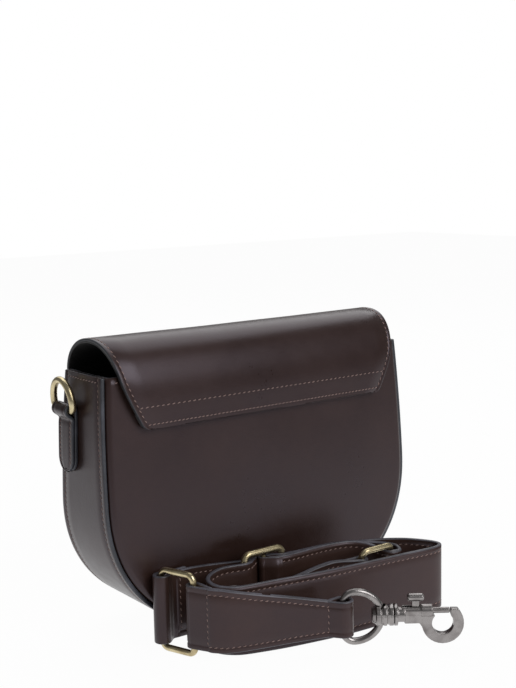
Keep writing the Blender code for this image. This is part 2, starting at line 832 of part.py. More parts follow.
def slider_weave(bar):
    """The route through the slider: in front of its sides and behind its middle bar."""
    clear = ring_hole + strap_thickness / 2
    behind = slider_bar_hole + strap_slider_ply + roll_clearance + strap_thickness / 2
    near, far = clear * weave_corner_share, behind * weave_corner_share
    middle_x = bar.x + slider_bar_spacing
    last_x = middle_x + slider_bar_spacing
    return [
        (bar.x - clear, bar.y - clear), (bar.x, bar.y - clear), (bar.x + near, bar.y - near),
        (middle_x - far, bar.y + far), (middle_x, bar.y + behind), (middle_x + far, bar.y + far),
        (last_x - near, bar.y - near), (last_x, bar.y - clear), (last_x + clear, bar.y - clear),
    ]


def loop_wrap(bar):
    """The route round the bar of the loop's leaning ring."""
    clear = ring_hole + strap_thickness / 2 + fit_gap
    lean = math.radians(loop_ring_lean_degrees)
    points = []
    for degrees in wrap_degrees:
        around = heading(degrees) * clear
        points.append((bar.x + around.x, bar.y + around.y / math.cos(lean), *leaning(1)))
    return points


def slider_return(bar):
    """The route's end: past the slider's side and up to its middle bar."""
    beside = ring_hole + strap_thickness / 2 + strap_thickness + roll_clearance
    offset = (slider_bar_hole + strap_slider_ply) * strap_end_offset_share
    middle_x = bar.x + slider_bar_spacing
    last_x = middle_x + slider_bar_spacing
    return [
        (last_x + beside, bar.y - beside), (last_x, bar.y - beside),
        (middle_x + offset, bar.y - offset),
    ]


def strap_route():
    """The whole route: outer turn, front run, slider, loop ring and back to the slider.

    Each point has its place on the ground, its lower edge's height and its top's lean."""
    slider_place = plan_point(slider_left_share)
    route = []
    for share in outer_run_shares:
        route.append((*plan_point(share), share[2] * strap_lift, share[3] * coil_lean))
    route += [(x, y, strap_lift, 0) for x, y in slider_weave(slider_place)]
    route += [(*plan_point(share), *leaning(*share[2:])) for share in inner_run_shares]
    route += loop_wrap(plan_point(loop_bar_share))
    route += [(*plan_point(share), *leaning(*share[2:])) for share in fixed_run_shares]
    route += [(x, y, strap_lift, 0) for x, y in slider_return(slider_place)]
    return smooth_route(route, route_steps)


def remove_all_objects():
    """Start from an empty scene."""
    for piece in list(bpy.data.objects):
        bpy.data.objects.remove(piece)


def leather_material():
    """Dark chocolate leather."""
    return material("leather", leather_shares)


def lining_material():
    """Black lining leather."""
    return material("leather_lining", lining_shares)


def brass_material():
    """Brass that has aged."""
    return material("antique_brass", brass_shares)


def nickel_material():
    """Nickel that has aged."""
    return material("antique_nickel", nickel_shares)


def steel_material():
    """Plain spring steel."""
    return material("spring_steel", steel_shares)


def front_panel(finish):
    """The moulded front panel."""
    return moulded_panel("front_panel", -1, finish)


def back_panel(finish):
    """The moulded back panel, whose mouth edge the flap rises from."""
    return moulded_panel("back_panel", 1, finish)


def gusset(finish):
    """The gusset, from one end of the mouth under the base to the other."""
    return gusset_band("gusset", 0, gusset_leather, 0, finish)


def gusset_lining(finish):
    """The gusset's lining, between the panels' flanges."""
    return gusset_band("gusset_lining", panel_inset, lining_leather, -panel_flange_width - fit_gap, finish)


def front_lining(finish):
    """The lining behind the front panel."""
    return flat_lining("front_lining", -1, finish)


def back_lining(finish):
    """The lining behind the back panel."""
    return flat_lining("back_lining", 1, finish)


def flap(line, finish):
    """The flap's outer leather, which turns on the back panel's mouth edge."""
    set_origin(flap_ply("flap", line, 0, panel_leather, finish), flap_hinge)


def flap_lining(line, finish):
    """The flap's lining."""
    top = panel_leather + fit_gap
    set_origin(flap_ply("flap_lining", line, top, top + lining_leather, finish), flap_hinge)


def flap_strip(line, finish):
    """The stiff strip that is sewn behind the flap's lower edge."""
    inset = panel_leather + fit_gap + lining_leather + fit_gap
    height = flap_bottom_height + flap_strip_height
    set_origin(flap_ply("flap_strip", line, inset, inset + flap_strip_leather, finish, height), flap_hinge)


def snap_disc(name, profile, clearance, finish, closed=False):
    """A disc parallel to the front panel's face, a clearance in front of it."""
    lean_rise = (base_depth - mouth_depth) / 2 / bag_height
    outward = Vector((0, -1, lean_rise)).normalized()
    face_point = Vector((0, -half_depth(snap_height) - panel_stand_out, snap_height))
    disc = turned(name, profile, finish, snap_steps, closed)
    tilt = outward.to_track_quat("Z", "Y").to_matrix().to_4x4()
    disc.data.transform(Matrix.Translation(face_point + outward * clearance) @ tilt)
    return disc


def snap_socket(finish):
    """The magnetic snap's socket on the front panel."""
    top = snap_socket_thickness
    profile = [(snap_core_radius, 0), (snap_radius, 0), (snap_radius, top), (snap_core_radius, top)]
    return snap_disc("snap_socket", profile, fit_gap, finish, closed=True)


def snap_stud(finish):
    """The magnetic snap's stud, which moves with the flap."""
    top = snap_stud_thickness
    profile = [(0, 0), (snap_radius, 0), (snap_radius, top), (0, top)]
    clearance = fit_gap + snap_socket_thickness + snap_clearance
    set_origin(snap_disc("snap_stud", profile, clearance, finish), flap_hinge)


def gusset_half_width(z):
    """The bag's half width at a height above its widest line."""
    share = max(z - widest_height, 0) / (bag_height - widest_height)
    return bag_width / 2 - (bag_width - mouth_width) / 2 * share ** 2


def side_roll_x():
    """How far out the side tabs' rolls stand."""
    face = gusset_half_width(side_tab_roll_height)
    return face + fit_gap + side_tab_leather + side_tab_roll_offset


def side_tab(name, side, finish):
    """A folded tab on the gusset, with its lower end cut round."""
    middle = side_tab_leather + fit_gap
    path = []
    top = side_tab_roll_height - side_hole - side_tab_leather - side_tab_roll_offset
    for step in range(side_tab_steps + 1):
        share = (step / side_tab_steps) ** side_tab_crowding_share
        z = top + (side_tab_bottom_height - top) * share
        path.append(Vector((gusset_half_width(z) + middle, z)))
    roll = ((side_roll_x(), side_tab_roll_height), side_hole, side_tab_leather)
    region = band_region(path, side_tab_leather, roll)
    half = side_tab_width / 2

    def place(point, index, end):
        reach = half
        below = half - (point.y - side_tab_bottom_height)
        if below > 0:
            tip = half * side_tab_tip_share
            reach = math.sqrt(max(half ** 2 - below ** 2, tip ** 2))
        return (side * point.x, side_tab_centre_depth + reach * (2 * end - 1), point.y)

    return thick_region(name, region, place, finish)


def side_ring(name, side, finish):
    """A side tab's D-ring, standing up and leaning out a little."""
    place = (side * side_roll_x(), side_tab_centre_depth, side_tab_roll_height)
    points = d_loop(side_ring_opening, side_ring_depth, side_ring_wire, side_ring_corner)
    piece = wire_loop(name, points, side_ring_wire, place, 0, finish)
    tilt = math.radians(side_ring_tilt_degrees)
    out = Vector((side * math.sin(tilt), 0, math.cos(tilt)))
    along = Vector((0, 1, 0))
    piece.rotation_euler = Matrix((out, along.cross(out), along)).transposed().to_euler()
    return piece


def left_tab(finish):
    """The left side's tab."""
    return side_tab("left_tab", -1, finish)


def right_tab(finish):
    """The right side's tab."""
    return side_tab("right_tab", 1, finish)


def left_d_ring(finish):
    """The left side's D-ring."""
    return side_ring("left_d_ring", -1, finish)


def right_d_ring(finish):
    """The right side's D-ring."""
    return side_ring("right_d_ring", 1, finish)


def rectangle_ring(name, spacing, place, height, heading_degrees, finish):
    """A rectangular ring that stands on the ground with its first bar at a place."""
    points = rectangle_loop(spacing, ring_opening_height + ring_wire)
    return wire_loop(name, points, ring_wire, (*place, height), heading_degrees, finish)


def leaning_ring_height():
    """The height of the middle of the loop's ring, whose foot stays on the ground."""
    lean = math.radians(loop_ring_lean_degrees)
    return ring_wire / 2 + (ring_middle_height - ring_wire / 2) * math.cos(lean)


def end_ring(finish):
    """The rectangular ring at the strap's sewn end."""
    place = plan_point(end_bar_share)
    heading_degrees = end_ring_heading_degrees
    return rectangle_ring("end_ring", ring_bar_spacing, place, ring_middle_height, heading_degrees, finish)


def loop_ring(finish):
    """The rectangular ring in the strap's loop, which leans back."""
    place = plan_point(loop_bar_share)
    heading_degrees = loop_ring_heading_degrees
    height = leaning_ring_height()
    ring = rectangle_ring("loop_ring", ring_bar_spacing, place, height, heading_degrees, finish)
    ring.rotation_euler.x = -math.radians(loop_ring_lean_degrees)
    return ring


def slider_frame(finish):
    """The slider's rectangular frame."""
    place = plan_point(slider_left_share)
    return rectangle_ring("slider_frame", 2 * slider_bar_spacing, place, ring_middle_height, 0, finish)


def slider_bar(finish):
    """The slider's middle bar, which the strap's fixed end is sewn round."""
    radius = slider_bar_wire / 2
    half = ring_opening_height / 2 - fit_gap
    profile = [(0, -half), (radius, -half), (radius, half), (0, half)]
    bar = turned("slider_bar", profile, finish, slider_bar_steps)
    place = plan_point(slider_left_share)
    bar.location = (place.x + slider_bar_spacing, place.y, ring_middle_height)
    return bar


def strap(finish):
    """The long strap on its edge, with a sewn roll round the end ring and one in the slider."""
    route = strap_route()
    slider_place = plan_point(slider_left_share)
    middle_bar = (slider_place.x + slider_bar_spacing, slider_place.y)
    end_roll = (plan_point(end_bar_share), ring_hole, strap_roll_ply)
    fixed_roll = (middle_bar, slider_bar_hole, strap_slider_ply)
    region = band_region(route, strap_thickness / 2, end_roll, fixed_roll)

    def place(point, index, side):
        """The strap's lower edge on side 0 and its upper edge on side 1."""
        lift, lean = route[index][2:]
        rise = math.sqrt(strap_width ** 2 - lean ** 2)
        return (point.x, point.y + lean * (side - middle_share), max(lift, 0) + rise * side)

    return thick_region("strap", region, place, finish)


def connector(name, ring_bar, path_shares, d_bar, lean_degrees, finish):
    """A tapered connector, folded round a rectangular ring's bar and a D-ring's bar.

    Each point of its path has the share of the rectangular ring's lean that it takes."""
    path = [(*plan_point(share), share[2]) for share in path_shares]
    route = smooth_route(path, route_steps)
    ring_roll = (ring_bar, ring_hole, connector_leather)
    d_roll = (d_bar, hook_ring_wire / 2 + connector_roll_clearance, connector_leather)
    region = band_region(route, connector_leather, ring_roll, d_roll)
    lengths = [0]
    for before, after in zip(route, route[1:]):
        lengths.append(lengths[-1] + (after.xy - before.xy).length)
    lean = math.radians(lean_degrees)
    first_height = ring_wire / 2 + (ring_middle_height - ring_wire / 2) * math.cos(lean)

    def place(point, index, side):
        share = lengths[index] / lengths[-1]
        middle = first_height + (hook_ring_height - first_height) * share
        taper = max(0, (share - connector_straight_share) / (1 - connector_straight_share))
        width = connector_wide_width + (connector_narrow_width - connector_wide_width) * taper
        reach = width * (side - middle_share)
        turn = lean * route[index].z
        return (point.x, point.y - reach * math.sin(turn), middle + reach * math.cos(turn))

    return thick_region(name, region, place, finish)


def end_connector(finish):
    """The connector at the strap's sewn end, in front of the coil."""
    near = plan_point(end_bar_share) + heading(end_ring_heading_degrees) * ring_bar_spacing
    d_bar = plan_point(end_d_bar_share)
    return connector("end_connector", near, end_connector_shares, d_bar, 0, finish)


def loop_connector(finish):
    """The connector inside the coil."""
    near = plan_point(loop_bar_share) + heading(loop_ring_heading_degrees) * ring_bar_spacing
    d_bar = plan_point(loop_d_bar_share)
    lean = loop_ring_lean_degrees
    return connector("loop_connector", near, loop_connector_shares, d_bar, lean, finish)


def hook_d_ring(name, bar_share, heading_degrees, finish):
    """A hook's D-ring, standing in its connector's fold."""
    points = d_loop(hook_ring_opening, hook_ring_depth, hook_ring_wire, hook_ring_corner)
    place = (*plan_point(bar_share), hook_ring_height)
    return wire_loop(name, points, hook_ring_wire, place, heading_degrees, finish)


def end_d_ring(finish):
    """The D-ring of the hook at the strap's sewn end."""
    return hook_d_ring("end_d_ring", end_d_bar_share, end_d_heading_degrees, finish)


def loop_d_ring(finish):
    """The D-ring of the hook inside the coil."""
    return hook_d_ring("loop_d_ring", loop_d_bar_share, loop_d_heading_degrees, finish)


def hook(prefix, bar_share, ring_degrees, hook_degrees, finish, spring_finish):
    """A swivel bolt hook on its D-ring's arch: eye, body, bolt and spring."""
    arch = plan_point(bar_share) + heading(ring_degrees) * hook_ring_depth
    place = (*arch, hook_height)
    makers = (
        ("_eye", hook_eye, finish), ("_body", hook_body, finish), ("_bolt", hook_bolt, finish),
        ("_spring", hook_spring, spring_finish),
    )
    for ending, maker, piece_finish in makers:
        place_hook_piece(maker(prefix + ending, piece_finish), place, hook_degrees)


def end_hook(finish, spring_finish):
    """The hook at the strap's sewn end."""
    degrees = (end_d_heading_degrees, end_hook_heading_degrees)
    hook("end_hook", end_d_bar_share, *degrees, finish, spring_finish)


def loop_hook(finish, spring_finish):
    """The hook inside the coil."""
    degrees = (loop_d_heading_degrees, loop_hook_heading_degrees)
    hook("loop_hook", loop_d_bar_share, *degrees, finish, spring_finish)


def build_bag(leather, lining, brass):
    """The bag with its flap, snap, tabs and side rings."""
    front_panel(leather)
    back_panel(leather)
    gusset(leather)
    gusset_lining(lining)
    front_lining(lining)
    back_lining(lining)
    line = flap_line()
    flap(line, leather)
    flap_lining(line, lining)
    flap_strip(line, leather)
    snap_socket(brass)
    snap_stud(brass)
    left_tab(leather)
    right_tab(leather)
    left_d_ring(brass)
    right_d_ring(brass)


def build_strap(leather, brass, nickel, steel):
    """The strap with its rings, slider, connectors and hooks."""
    end_ring(brass)
    loop_ring(brass)
    slider_frame(brass)
    slider_bar(brass)
    strap(leather)
    end_connector(leather)
    loop_connector(leather)
    end_d_ring(nickel)
    loop_d_ring(nickel)
    end_hook(nickel, steel)
    loop_hook(nickel, steel)


remove_all_objects()
bag_leather, bag_lining = leather_material(), lining_material()
bag_brass, hook_nickel, spring_steel = brass_material(), nickel_material(), steel_material()
build_bag(bag_leather, bag_lining, bag_brass)
build_strap(bag_leather, bag_brass, hook_nickel, spring_steel)
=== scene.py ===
# %% [markdown]
# # A leather saddle handbag with its shoulder strap taken off
# The bag stands on a pale floor with its flap down, and its shoulder strap lies coiled in front of it, with
# the slider still threaded and a hook hanging off its outer end. The solid model gives every piece its
# place. This lesson puts thin rolled leather, sewing, painted edges and old metal on those places.

# %% Load the solid model and keep its size
import math
from collections import namedtuple

import bmesh
import bpy
from mathutils import Matrix, Vector, noise


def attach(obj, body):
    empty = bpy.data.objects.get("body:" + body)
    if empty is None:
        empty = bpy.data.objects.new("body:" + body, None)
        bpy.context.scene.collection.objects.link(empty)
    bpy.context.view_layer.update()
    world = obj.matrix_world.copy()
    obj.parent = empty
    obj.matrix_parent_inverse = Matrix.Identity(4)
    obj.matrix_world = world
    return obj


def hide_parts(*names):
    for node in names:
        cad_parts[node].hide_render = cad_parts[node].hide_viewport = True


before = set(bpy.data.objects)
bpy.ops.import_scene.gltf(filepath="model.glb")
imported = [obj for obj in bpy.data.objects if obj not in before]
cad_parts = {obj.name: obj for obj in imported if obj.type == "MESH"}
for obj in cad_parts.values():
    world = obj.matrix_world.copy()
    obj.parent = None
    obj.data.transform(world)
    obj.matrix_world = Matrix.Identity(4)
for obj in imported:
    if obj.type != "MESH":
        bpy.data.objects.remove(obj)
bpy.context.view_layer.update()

# %% [markdown]
# ## Camera
# The bag is seen from its front left and a little from above, from less than a metre away, so the left
# gusset shows beside the front panel. The camera's place and its three turns came from matching the bag's
# outline and the strap's rings. The picture is 516 pixels wide and 688 high.

# %% Camera at the photograph's angle
camera_place = Vector((-0.4239, -0.5990, 0.2713))
camera_yaw, camera_pitch, camera_roll = 0.6313, 0.1458, 0.0208
focal_pixels = 1198.1
image_height = 688
sensor_side = 36


def camera_matrix():
    """The camera's place and directions, from its yaw, pitch and roll."""
    level = Vector((math.sin(camera_yaw), math.cos(camera_yaw), 0))
    forward = level * math.cos(camera_pitch) - Vector((0, 0, math.sin(camera_pitch)))
    right = Vector((math.cos(camera_yaw), -math.sin(camera_yaw), 0))
    down = forward.cross(right)
    tipped_right = right * math.cos(camera_roll) + down * math.sin(camera_roll)
    tipped_down = down * math.cos(camera_roll) - right * math.sin(camera_roll)
    matrix = Matrix((tipped_right, -tipped_down, -forward)).transposed().to_4x4()
    matrix.translation = camera_place
    return matrix


camera_data = bpy.data.cameras.new("camera")
camera_data.sensor_fit = "VERTICAL"
camera_data.sensor_height = sensor_side
camera_data.lens = focal_pixels / image_height * sensor_side
camera_data.clip_start = 0.01
camera = bpy.data.objects.new("camera", camera_data)
camera.matrix_world = camera_matrix()
bpy.context.scene.collection.objects.link(camera)
bpy.context.scene.camera = camera
print("camera lens", round(camera_data.lens, 2), "mm")

# %% [markdown]
# ## Shader sums written as Python
# A finish is worked out from masks: how much dye, how much wear, how high the grain stands. Each mask is a
# socket of a node. The small class below wraps a socket, so that a sum such as `1 - wear * 0.5` adds its
# Math nodes by itself. One method adds every other kind of node, and colours are mixed by a Mix node,
# because a Math node would turn them grey.

# %% Sockets that can be added and multiplied


class Mask:
    """One socket in a finish, which Python's operators can work on."""

    def __init__(self, finish, socket):
        self.finish = finish
        self.socket = socket

    def join(self, operation, first, second):
        return self.finish.add("ShaderNodeMath", {"operation": operation}, {0: first, 1: second})

    def __add__(self, other):
        return self.join("ADD", self, other)

    __radd__ = __add__

    def __sub__(self, other):
        return self.join("SUBTRACT", self, other)

    def __rsub__(self, other):
        return self.join("SUBTRACT", other, self)

    def __mul__(self, other):
        return self.join("MULTIPLY", self, other)

    __rmul__ = __mul__


class Finish:
    """A material that is built from masks."""

    def __init__(self, name, roughness, metallic=0.0, **constants):
        self.material = bpy.data.materials.new(name)
        self.material.use_nodes = True
        self.tree = self.material.node_tree
        self.shader = self.tree.nodes["Principled BSDF"]
        self.shader.inputs["Roughness"].default_value = roughness
        self.shader.inputs["Metallic"].default_value = metallic
        for socket, value in constants.items():
            self.shader.inputs[socket.replace("_", " ")].default_value = value
        self.place = self.add("ShaderNodeTexCoord", {}, {}, "Object")

    def add(self, kind, settings, sockets, output=0):
        """A node with its settings and its sockets' values or links."""
        node = self.tree.nodes.new(kind)
        for setting, value in settings.items():
            if setting == "stops":
                for stop, (position, colour) in zip(node.color_ramp.elements, value):
                    stop.position = position
                    stop.color = colour
            else:
                setattr(node, setting, value)
        for socket, value in sockets.items():
            if isinstance(value, Mask):
                self.tree.links.new(value.socket, node.inputs[socket])
            else:
                node.inputs[socket].default_value = value
        return Mask(self, node.outputs[output])

    def clouds(self, size, detail=2.0, stretch=(1, 1, 1)):
        """Soft noise from 0 to 1 with patches of a size in metres."""
        place = self.place
        if stretch != (1, 1, 1):
            place = self.add("ShaderNodeMapping", {}, {"Vector": self.place, "Scale": stretch})
        return self.add("ShaderNodeTexNoise", {}, {"Vector": place, "Scale": 1 / size, "Detail": detail}, 0)

    def cells(self, size, feature="F1", output="Distance"):
        """Distances in a pattern of cells of a size in metres."""
        settings = {"feature": feature}
        return self.add("ShaderNodeTexVoronoi", settings, {"Vector": self.place, "Scale": 1 / size}, output)

    def between(self, mask, low, high):
        """A mask stretched so that low becomes 0 and high becomes 1."""
        return self.add("ShaderNodeMapRange", {}, {"Value": mask, "From Min": low, "From Max": high})

    def mix(self, mask, first, second):
        """A colour between two, by a mask."""
        sockets = {0: mask, 6: first, 7: second}
        return self.add("ShaderNodeMix", {"data_type": "RGBA"}, sockets, 2)

    def feed(self, socket, mask):
        self.tree.links.new(mask.socket, self.shader.inputs[socket])

    def raise_surface(self, height, distance, strength=1.0):
        """Light the surface as if it stood up by height times distance, in metres."""
        sockets = {"Height": height, "Distance": distance, "Strength": strength}
        self.feed("Normal", self.add("ShaderNodeBump", {}, sockets))


def colour(red, green, blue):
    """A colour as it is seen on a screen, 0 to 255, as the renderer's linear values."""
    linear = []
    for value in (red, green, blue):
        share = value / 255
        linear.append(share / 12.92 if share <= 0.04045 else ((share + 0.055) / 1.055) ** 2.4)
    return (*linear, 1.0)


print("a middle grey of 128 is", round(colour(128, 128, 128)[0], 3), "in linear values")

# %% [markdown]
# ## Floor, background and light
# The photograph has a white background and only a faint shadow under the bag and strap. The floor is a
# pale board. To the camera it is mostly plain white, and a small share of it is ordinary paint that takes
# the shadow. Shiny things see the white only near the bag, as its share fades out further off: a white
# floor without an end would turn the leather's glancing shine into one grey veil. A large soft lamp hangs
# above and behind the bag for the light along its top, and a smaller one stands high in front of it for
# the panels, because the leather shows broad, soft highlights and no small hot spots.

# %% Floor and white background
floor_size = 3.0
floor_shape = bmesh.new()
bmesh.ops.create_grid(floor_shape, x_segments=4, y_segments=4, size=floor_size)
floor_mesh = bpy.data.meshes.new("floor")
floor_shape.to_mesh(floor_mesh)
floor_shape.free()
floor = bpy.data.objects.new("floor", floor_mesh)
bpy.context.scene.collection.objects.link(floor)
paper = Finish("floor_paper", 0.8)
paper.shader.inputs["Base Color"].default_value = colour(238, 238, 240)
light_path = paper.tree.nodes.new("ShaderNodeLightPath")
white_start, white_end = 0.52, 0.80
whiteness = 0.97
ray_kinds = ("Is Camera Ray", "Is Glossy Ray", "Is Transmission Ray")
camera_ray, glossy_ray, through_ray = (Mask(paper, light_path.outputs[kind]) for kind in ray_kinds)
from_bag = paper.add("ShaderNodeVectorMath", {"operation": "LENGTH"}, {0: paper.place}, "Value")
near_bag = 1 - paper.between(from_bag, white_start, white_end)
seen = camera_ray + (glossy_ray + through_ray) * near_bag
seen = paper.add("ShaderNodeMath", {"operation": "MINIMUM"}, {0: seen, 1: 1.0})
white = paper.add("ShaderNodeEmission", {}, {"Color": (1, 1, 1, 1), "Strength": 1.0})
paper_surface = paper.add("ShaderNodeMixShader", {}, {
    0: seen * whiteness, 1: Mask(paper, paper.shader.outputs[0]), 2: white})
paper.tree.links.new(paper_surface.socket, paper.tree.nodes["Material Output"].inputs["Surface"])
floor_mesh.materials.append(paper.material)

world = bpy.data.worlds.new("studio")
bpy.context.scene.world = world
world.use_nodes = True
world_tree = world.node_tree
backdrop = world_tree.nodes["Background"]
rays = world_tree.nodes.new("ShaderNodeLightPath")
brightness = world_tree.nodes.new("ShaderNodeMapRange")
world_light, world_white = 0.19, 1.0
brightness.inputs["To Min"].default_value = world_light
brightness.inputs["To Max"].default_value = world_white
world_tree.links.new(rays.outputs["Is Camera Ray"], brightness.inputs["Value"])
world_tree.links.new(brightness.outputs[0], backdrop.inputs["Strength"])
backdrop.inputs["Color"].default_value = (1, 1, 1, 1)
bpy.context.scene.view_settings.view_transform = "Standard"
print("floor is", 2 * floor_size, "m wide")

# %% Soft lamps


def soft_lamp(name, place, aim, size, power):
    """A square white lamp that faces a point."""
    lamp_data = bpy.data.lights.new(name, "AREA")
    lamp_data.size = size
    lamp_data.energy = power
    lamp = bpy.data.objects.new(name, lamp_data)
    lamp.location = place
    lamp.rotation_euler = (Vector(aim) - Vector(place)).to_track_quat("-Z", "Y").to_euler()
    bpy.context.scene.collection.objects.link(lamp)
    print(name, "of", power, "W")


bag_middle = (0, 0, 0.08)
soft_lamp("back_lamp", (0.35, 0.65, 1.15), bag_middle, 1.6, 12.0)
soft_lamp("front_lamp", (0.25, -1.35, 1.00), bag_middle, 1.0, 12.5)

# %% [markdown]
# ## Leather
# The bag is smooth chocolate leather: a very fine grain, dye that varies softly over a few fingers' width,
# and a faint lavender bloom where light glances off it. Nothing is printed on it. Three scales of noise
# vary the dye, small cells give the grain, and a lavender tint on the shine gives the bloom. The strap's
# leather is dyed a little lighter. The cut edges have their own finish, because they are sealed with a
# blue-grey paint that has built up in a rounded bead, palest on the strap. The edges of the flap's inner
# plies are coloured near black: painted shade under the flap's outer ply.

# %% Leather, edge paint and lining


def leather_finish(name, deep, worn, shine):
    """Smooth dyed leather with a fine grain."""
    finish = Finish(name, shine, Specular_IOR_Level=0.50, Specular_Tint=colour(240, 231, 248))
    broad = finish.between(finish.clouds(0.055, 2.0), 0.32, 0.68)
    mottle = finish.clouds(0.006, 4.0)
    fine = finish.clouds(0.0012, 3.0)
    dye = broad * 0.45 + mottle * 0.4 + fine * 0.15
    finish.feed("Base Color", finish.mix(dye, deep, worn))
    finish.feed("Roughness", shine - 0.07 + mottle * 0.10 + broad * 0.06)
    grain = finish.cells(0.0009)
    creases = finish.cells(0.0022, "DISTANCE_TO_EDGE")
    valleys = finish.between(creases, 0.0, 0.12)
    height = grain * -0.35 + valleys * 0.25 + finish.clouds(0.004, 3.0) * 0.5
    finish.raise_surface(height, 0.00009, 0.55)
    return finish.material


leather = leather_finish("chocolate_leather", colour(39, 25, 21), colour(56, 39, 33), 0.30)
strap_leather = leather_finish("strap_leather", colour(47, 32, 27), colour(67, 48, 41), 0.34)


def edge_finish(name, deep, light):
    """Sealed edge paint: a satin bead with small ripples."""
    finish = Finish(name, 0.42, Coat_Weight=0.2, Coat_Roughness=0.3)
    ripple = finish.clouds(0.0035, 3.0)
    rubbed = finish.between(finish.clouds(0.016, 3.0), 0.45, 0.75)
    finish.feed("Base Color", finish.mix(rubbed * 0.7 + ripple * 0.3, deep, light))
    finish.feed("Roughness", 0.30 + ripple * 0.22)
    finish.raise_surface(ripple, 0.00012, 0.7)
    return finish.material


bag_edge = edge_finish("bag_edge_paint", colour(42, 44, 50), colour(84, 86, 96))
flap_edge = edge_finish("flap_edge_paint", colour(38, 40, 46), colour(78, 80, 90))
# Near-black edge paint for the flap's inner ply and stiffening strip: painted shade under the flap's outer
# ply
under_flap_painted_shade_edge = edge_finish("under_flap_edge_paint_painted_shade", colour(20, 19, 21), colour(38, 37, 41))
strap_edge = edge_finish("strap_edge_paint", colour(58, 57, 64), colour(112, 110, 120))
bag_finishes = [leather, bag_edge, leather]
flap_finishes = [leather, flap_edge, leather]
strap_finishes = [strap_leather, strap_edge, strap_leather]


def suede_finish(name, deep, light):
    """Soft black lining with a short nap."""
    finish = Finish(name, 0.85, Specular_IOR_Level=0.3, Sheen_Weight=0.1, Sheen_Roughness=0.5)
    nap = finish.clouds(0.0014, 5.0)
    brushed = finish.clouds(0.02, 2.0, (1, 1, 0.3))
    finish.feed("Base Color", finish.mix(nap * 0.5 + brushed * 0.5, deep, light))
    finish.feed("Roughness", 0.75 + nap * 0.2)
    finish.raise_surface(nap, 0.0002, 0.8)
    return finish.material


lining = suede_finish("black_lining", colour(11, 10, 11), colour(24, 22, 23))
print("leather finishes made")

# %% [markdown]
# ## Thread and metal
# The sewing is a waxed brown thread, paler and pinker than the leather. The rings and slider are brass
# that has aged to a soft gold with darker brown patches. The hooks and their D-rings are a greyer,
# brushed old nickel. On both metals the colour and the polish change together, from one noise.

# %% Thread, brass, nickel and spring steel


def thread_finish(name, deep, light):
    """Waxed twisted thread."""
    finish = Finish(name, 0.55, Sheen_Weight=0.2)
    fibre = finish.clouds(0.0005, 3.0)
    finish.feed("Base Color", finish.mix(fibre, deep, light))
    finish.feed("Roughness", 0.45 + fibre * 0.25)
    finish.raise_surface(fibre, 0.00006, 0.8)
    return finish.material


def metal_finish(name, bright, aged, low_roughness, high_roughness, scratch):
    """Metal with patches of age and a fine brushed surface."""
    finish = Finish(name, low_roughness, 1.0)
    patches = finish.between(finish.clouds(0.007, 4.0), 0.42, 0.72)
    scratches = finish.clouds(0.0006, 3.0, scratch)
    finish.feed("Base Color", finish.mix(patches * 0.75 + scratches * 0.25, bright, aged))
    finish.feed("Roughness", low_roughness + patches * (high_roughness - low_roughness) + scratches * 0.08)
    finish.raise_surface(scratches, 0.00001, 0.4)
    return finish.material


thread = thread_finish("waxed_thread", colour(124, 99, 94), colour(178, 150, 142))
brass = metal_finish("old_brass", colour(216, 203, 166), colour(146, 127, 90), 0.22, 0.38, (1, 1, 0.15))
nickel = metal_finish("brushed_old_nickel", colour(160, 156, 155), colour(116, 111, 110), 0.22, 0.30,
                      (0.15, 1, 1))
steel = metal_finish("spring_steel", colour(190, 190, 192), colour(140, 140, 142), 0.3, 0.4, (1, 1, 1))
print("thread and metals made")

# %% [markdown]
# ## A strip of leather
# Nearly everything here is a strip of leather: the gusset that runs round the bag, the flap that goes over
# its top, the straps and the tabs. So one helper makes a strip from a row of stations. Each station has a
# middle, the direction that the grain side faces, the direction across the strip, and half its width and
# thickness. The section has round painted edges and a shallow channel where the sewing pulls it down.

# %% The strip helper
Station = namedtuple("Station", "centre out across half_width half_thickness")
channel_depth = 0.00022
channel_half_width = 0.00085
least_half_width = 0.0003


def with_neighbours(points):
    """Each point of a line, between the one before it and the one after it."""
    return zip(points[:1] + points, points, points[1:] + points[-1:])


def smooth_through(points, steps):
    """A smooth curve through points that may have any number of coordinates."""
    route = [Vector(point) for point in points]
    guide = [route[0] * 2 - route[1]] + route + [route[-1] * 2 - route[-2]]
    curve = []
    for before, start, end, after in zip(guide, guide[1:], guide[2:], guide[3:]):
        for step in range(steps):
            t = step / steps
            bend = (end - before) * t
            bend += (before * 2 - start * 5 + end * 4 - after) * t ** 2
            bend += (start * 3 - before - end * 3 + after) * t ** 3
            curve.append(start + bend / 2)
    curve.append(route[-1])
    return curve


def section(half_width, half_thickness, channel, columns, roundness):
    """A strip's section as offsets across and out, with the finish that starts at each."""
    corner = min(half_thickness * roundness, half_width)
    flat = half_width - corner
    face = [(-flat, 0)]
    if channel:
        middle = -half_width + channel
        for offset, dip in ((-1, 0), (-0.4, 1), (0.4, 1), (1, 0)):
            face.append((middle + offset * channel_half_width, dip))
    inner = -face[-1][0]
    for column in range(1, columns):
        face.append((-inner + 2 * inner * column / columns, 0))
    mirrored = [(-across, dip) for across, dip in face[:5 if channel else 1]]
    face += mirrored[::-1]
    points = [(across, half_thickness - channel_depth * dip, 0) for across, dip in face]

    def round_corner(across, out, first_degrees, steps):
        for step in steps:
            turn = math.radians(first_degrees - 30 * step)
            points.append((across + corner * math.cos(turn), out + corner * math.sin(turn), 1))

    points[-1] = (*points[-1][:2], 1)
    round_corner(flat, half_thickness - corner, 90, range(1, 4))
    round_corner(flat, corner - half_thickness, 0, range(4))
    points += [(across, -half_thickness + channel_depth * dip, 2) for across, dip in face[::-1]]
    points[-1] = (*points[-1][:2], 1)
    round_corner(-flat, corner - half_thickness, 270, range(1, 4))
    round_corner(-flat, half_thickness - corner, 180, range(3))
    return points


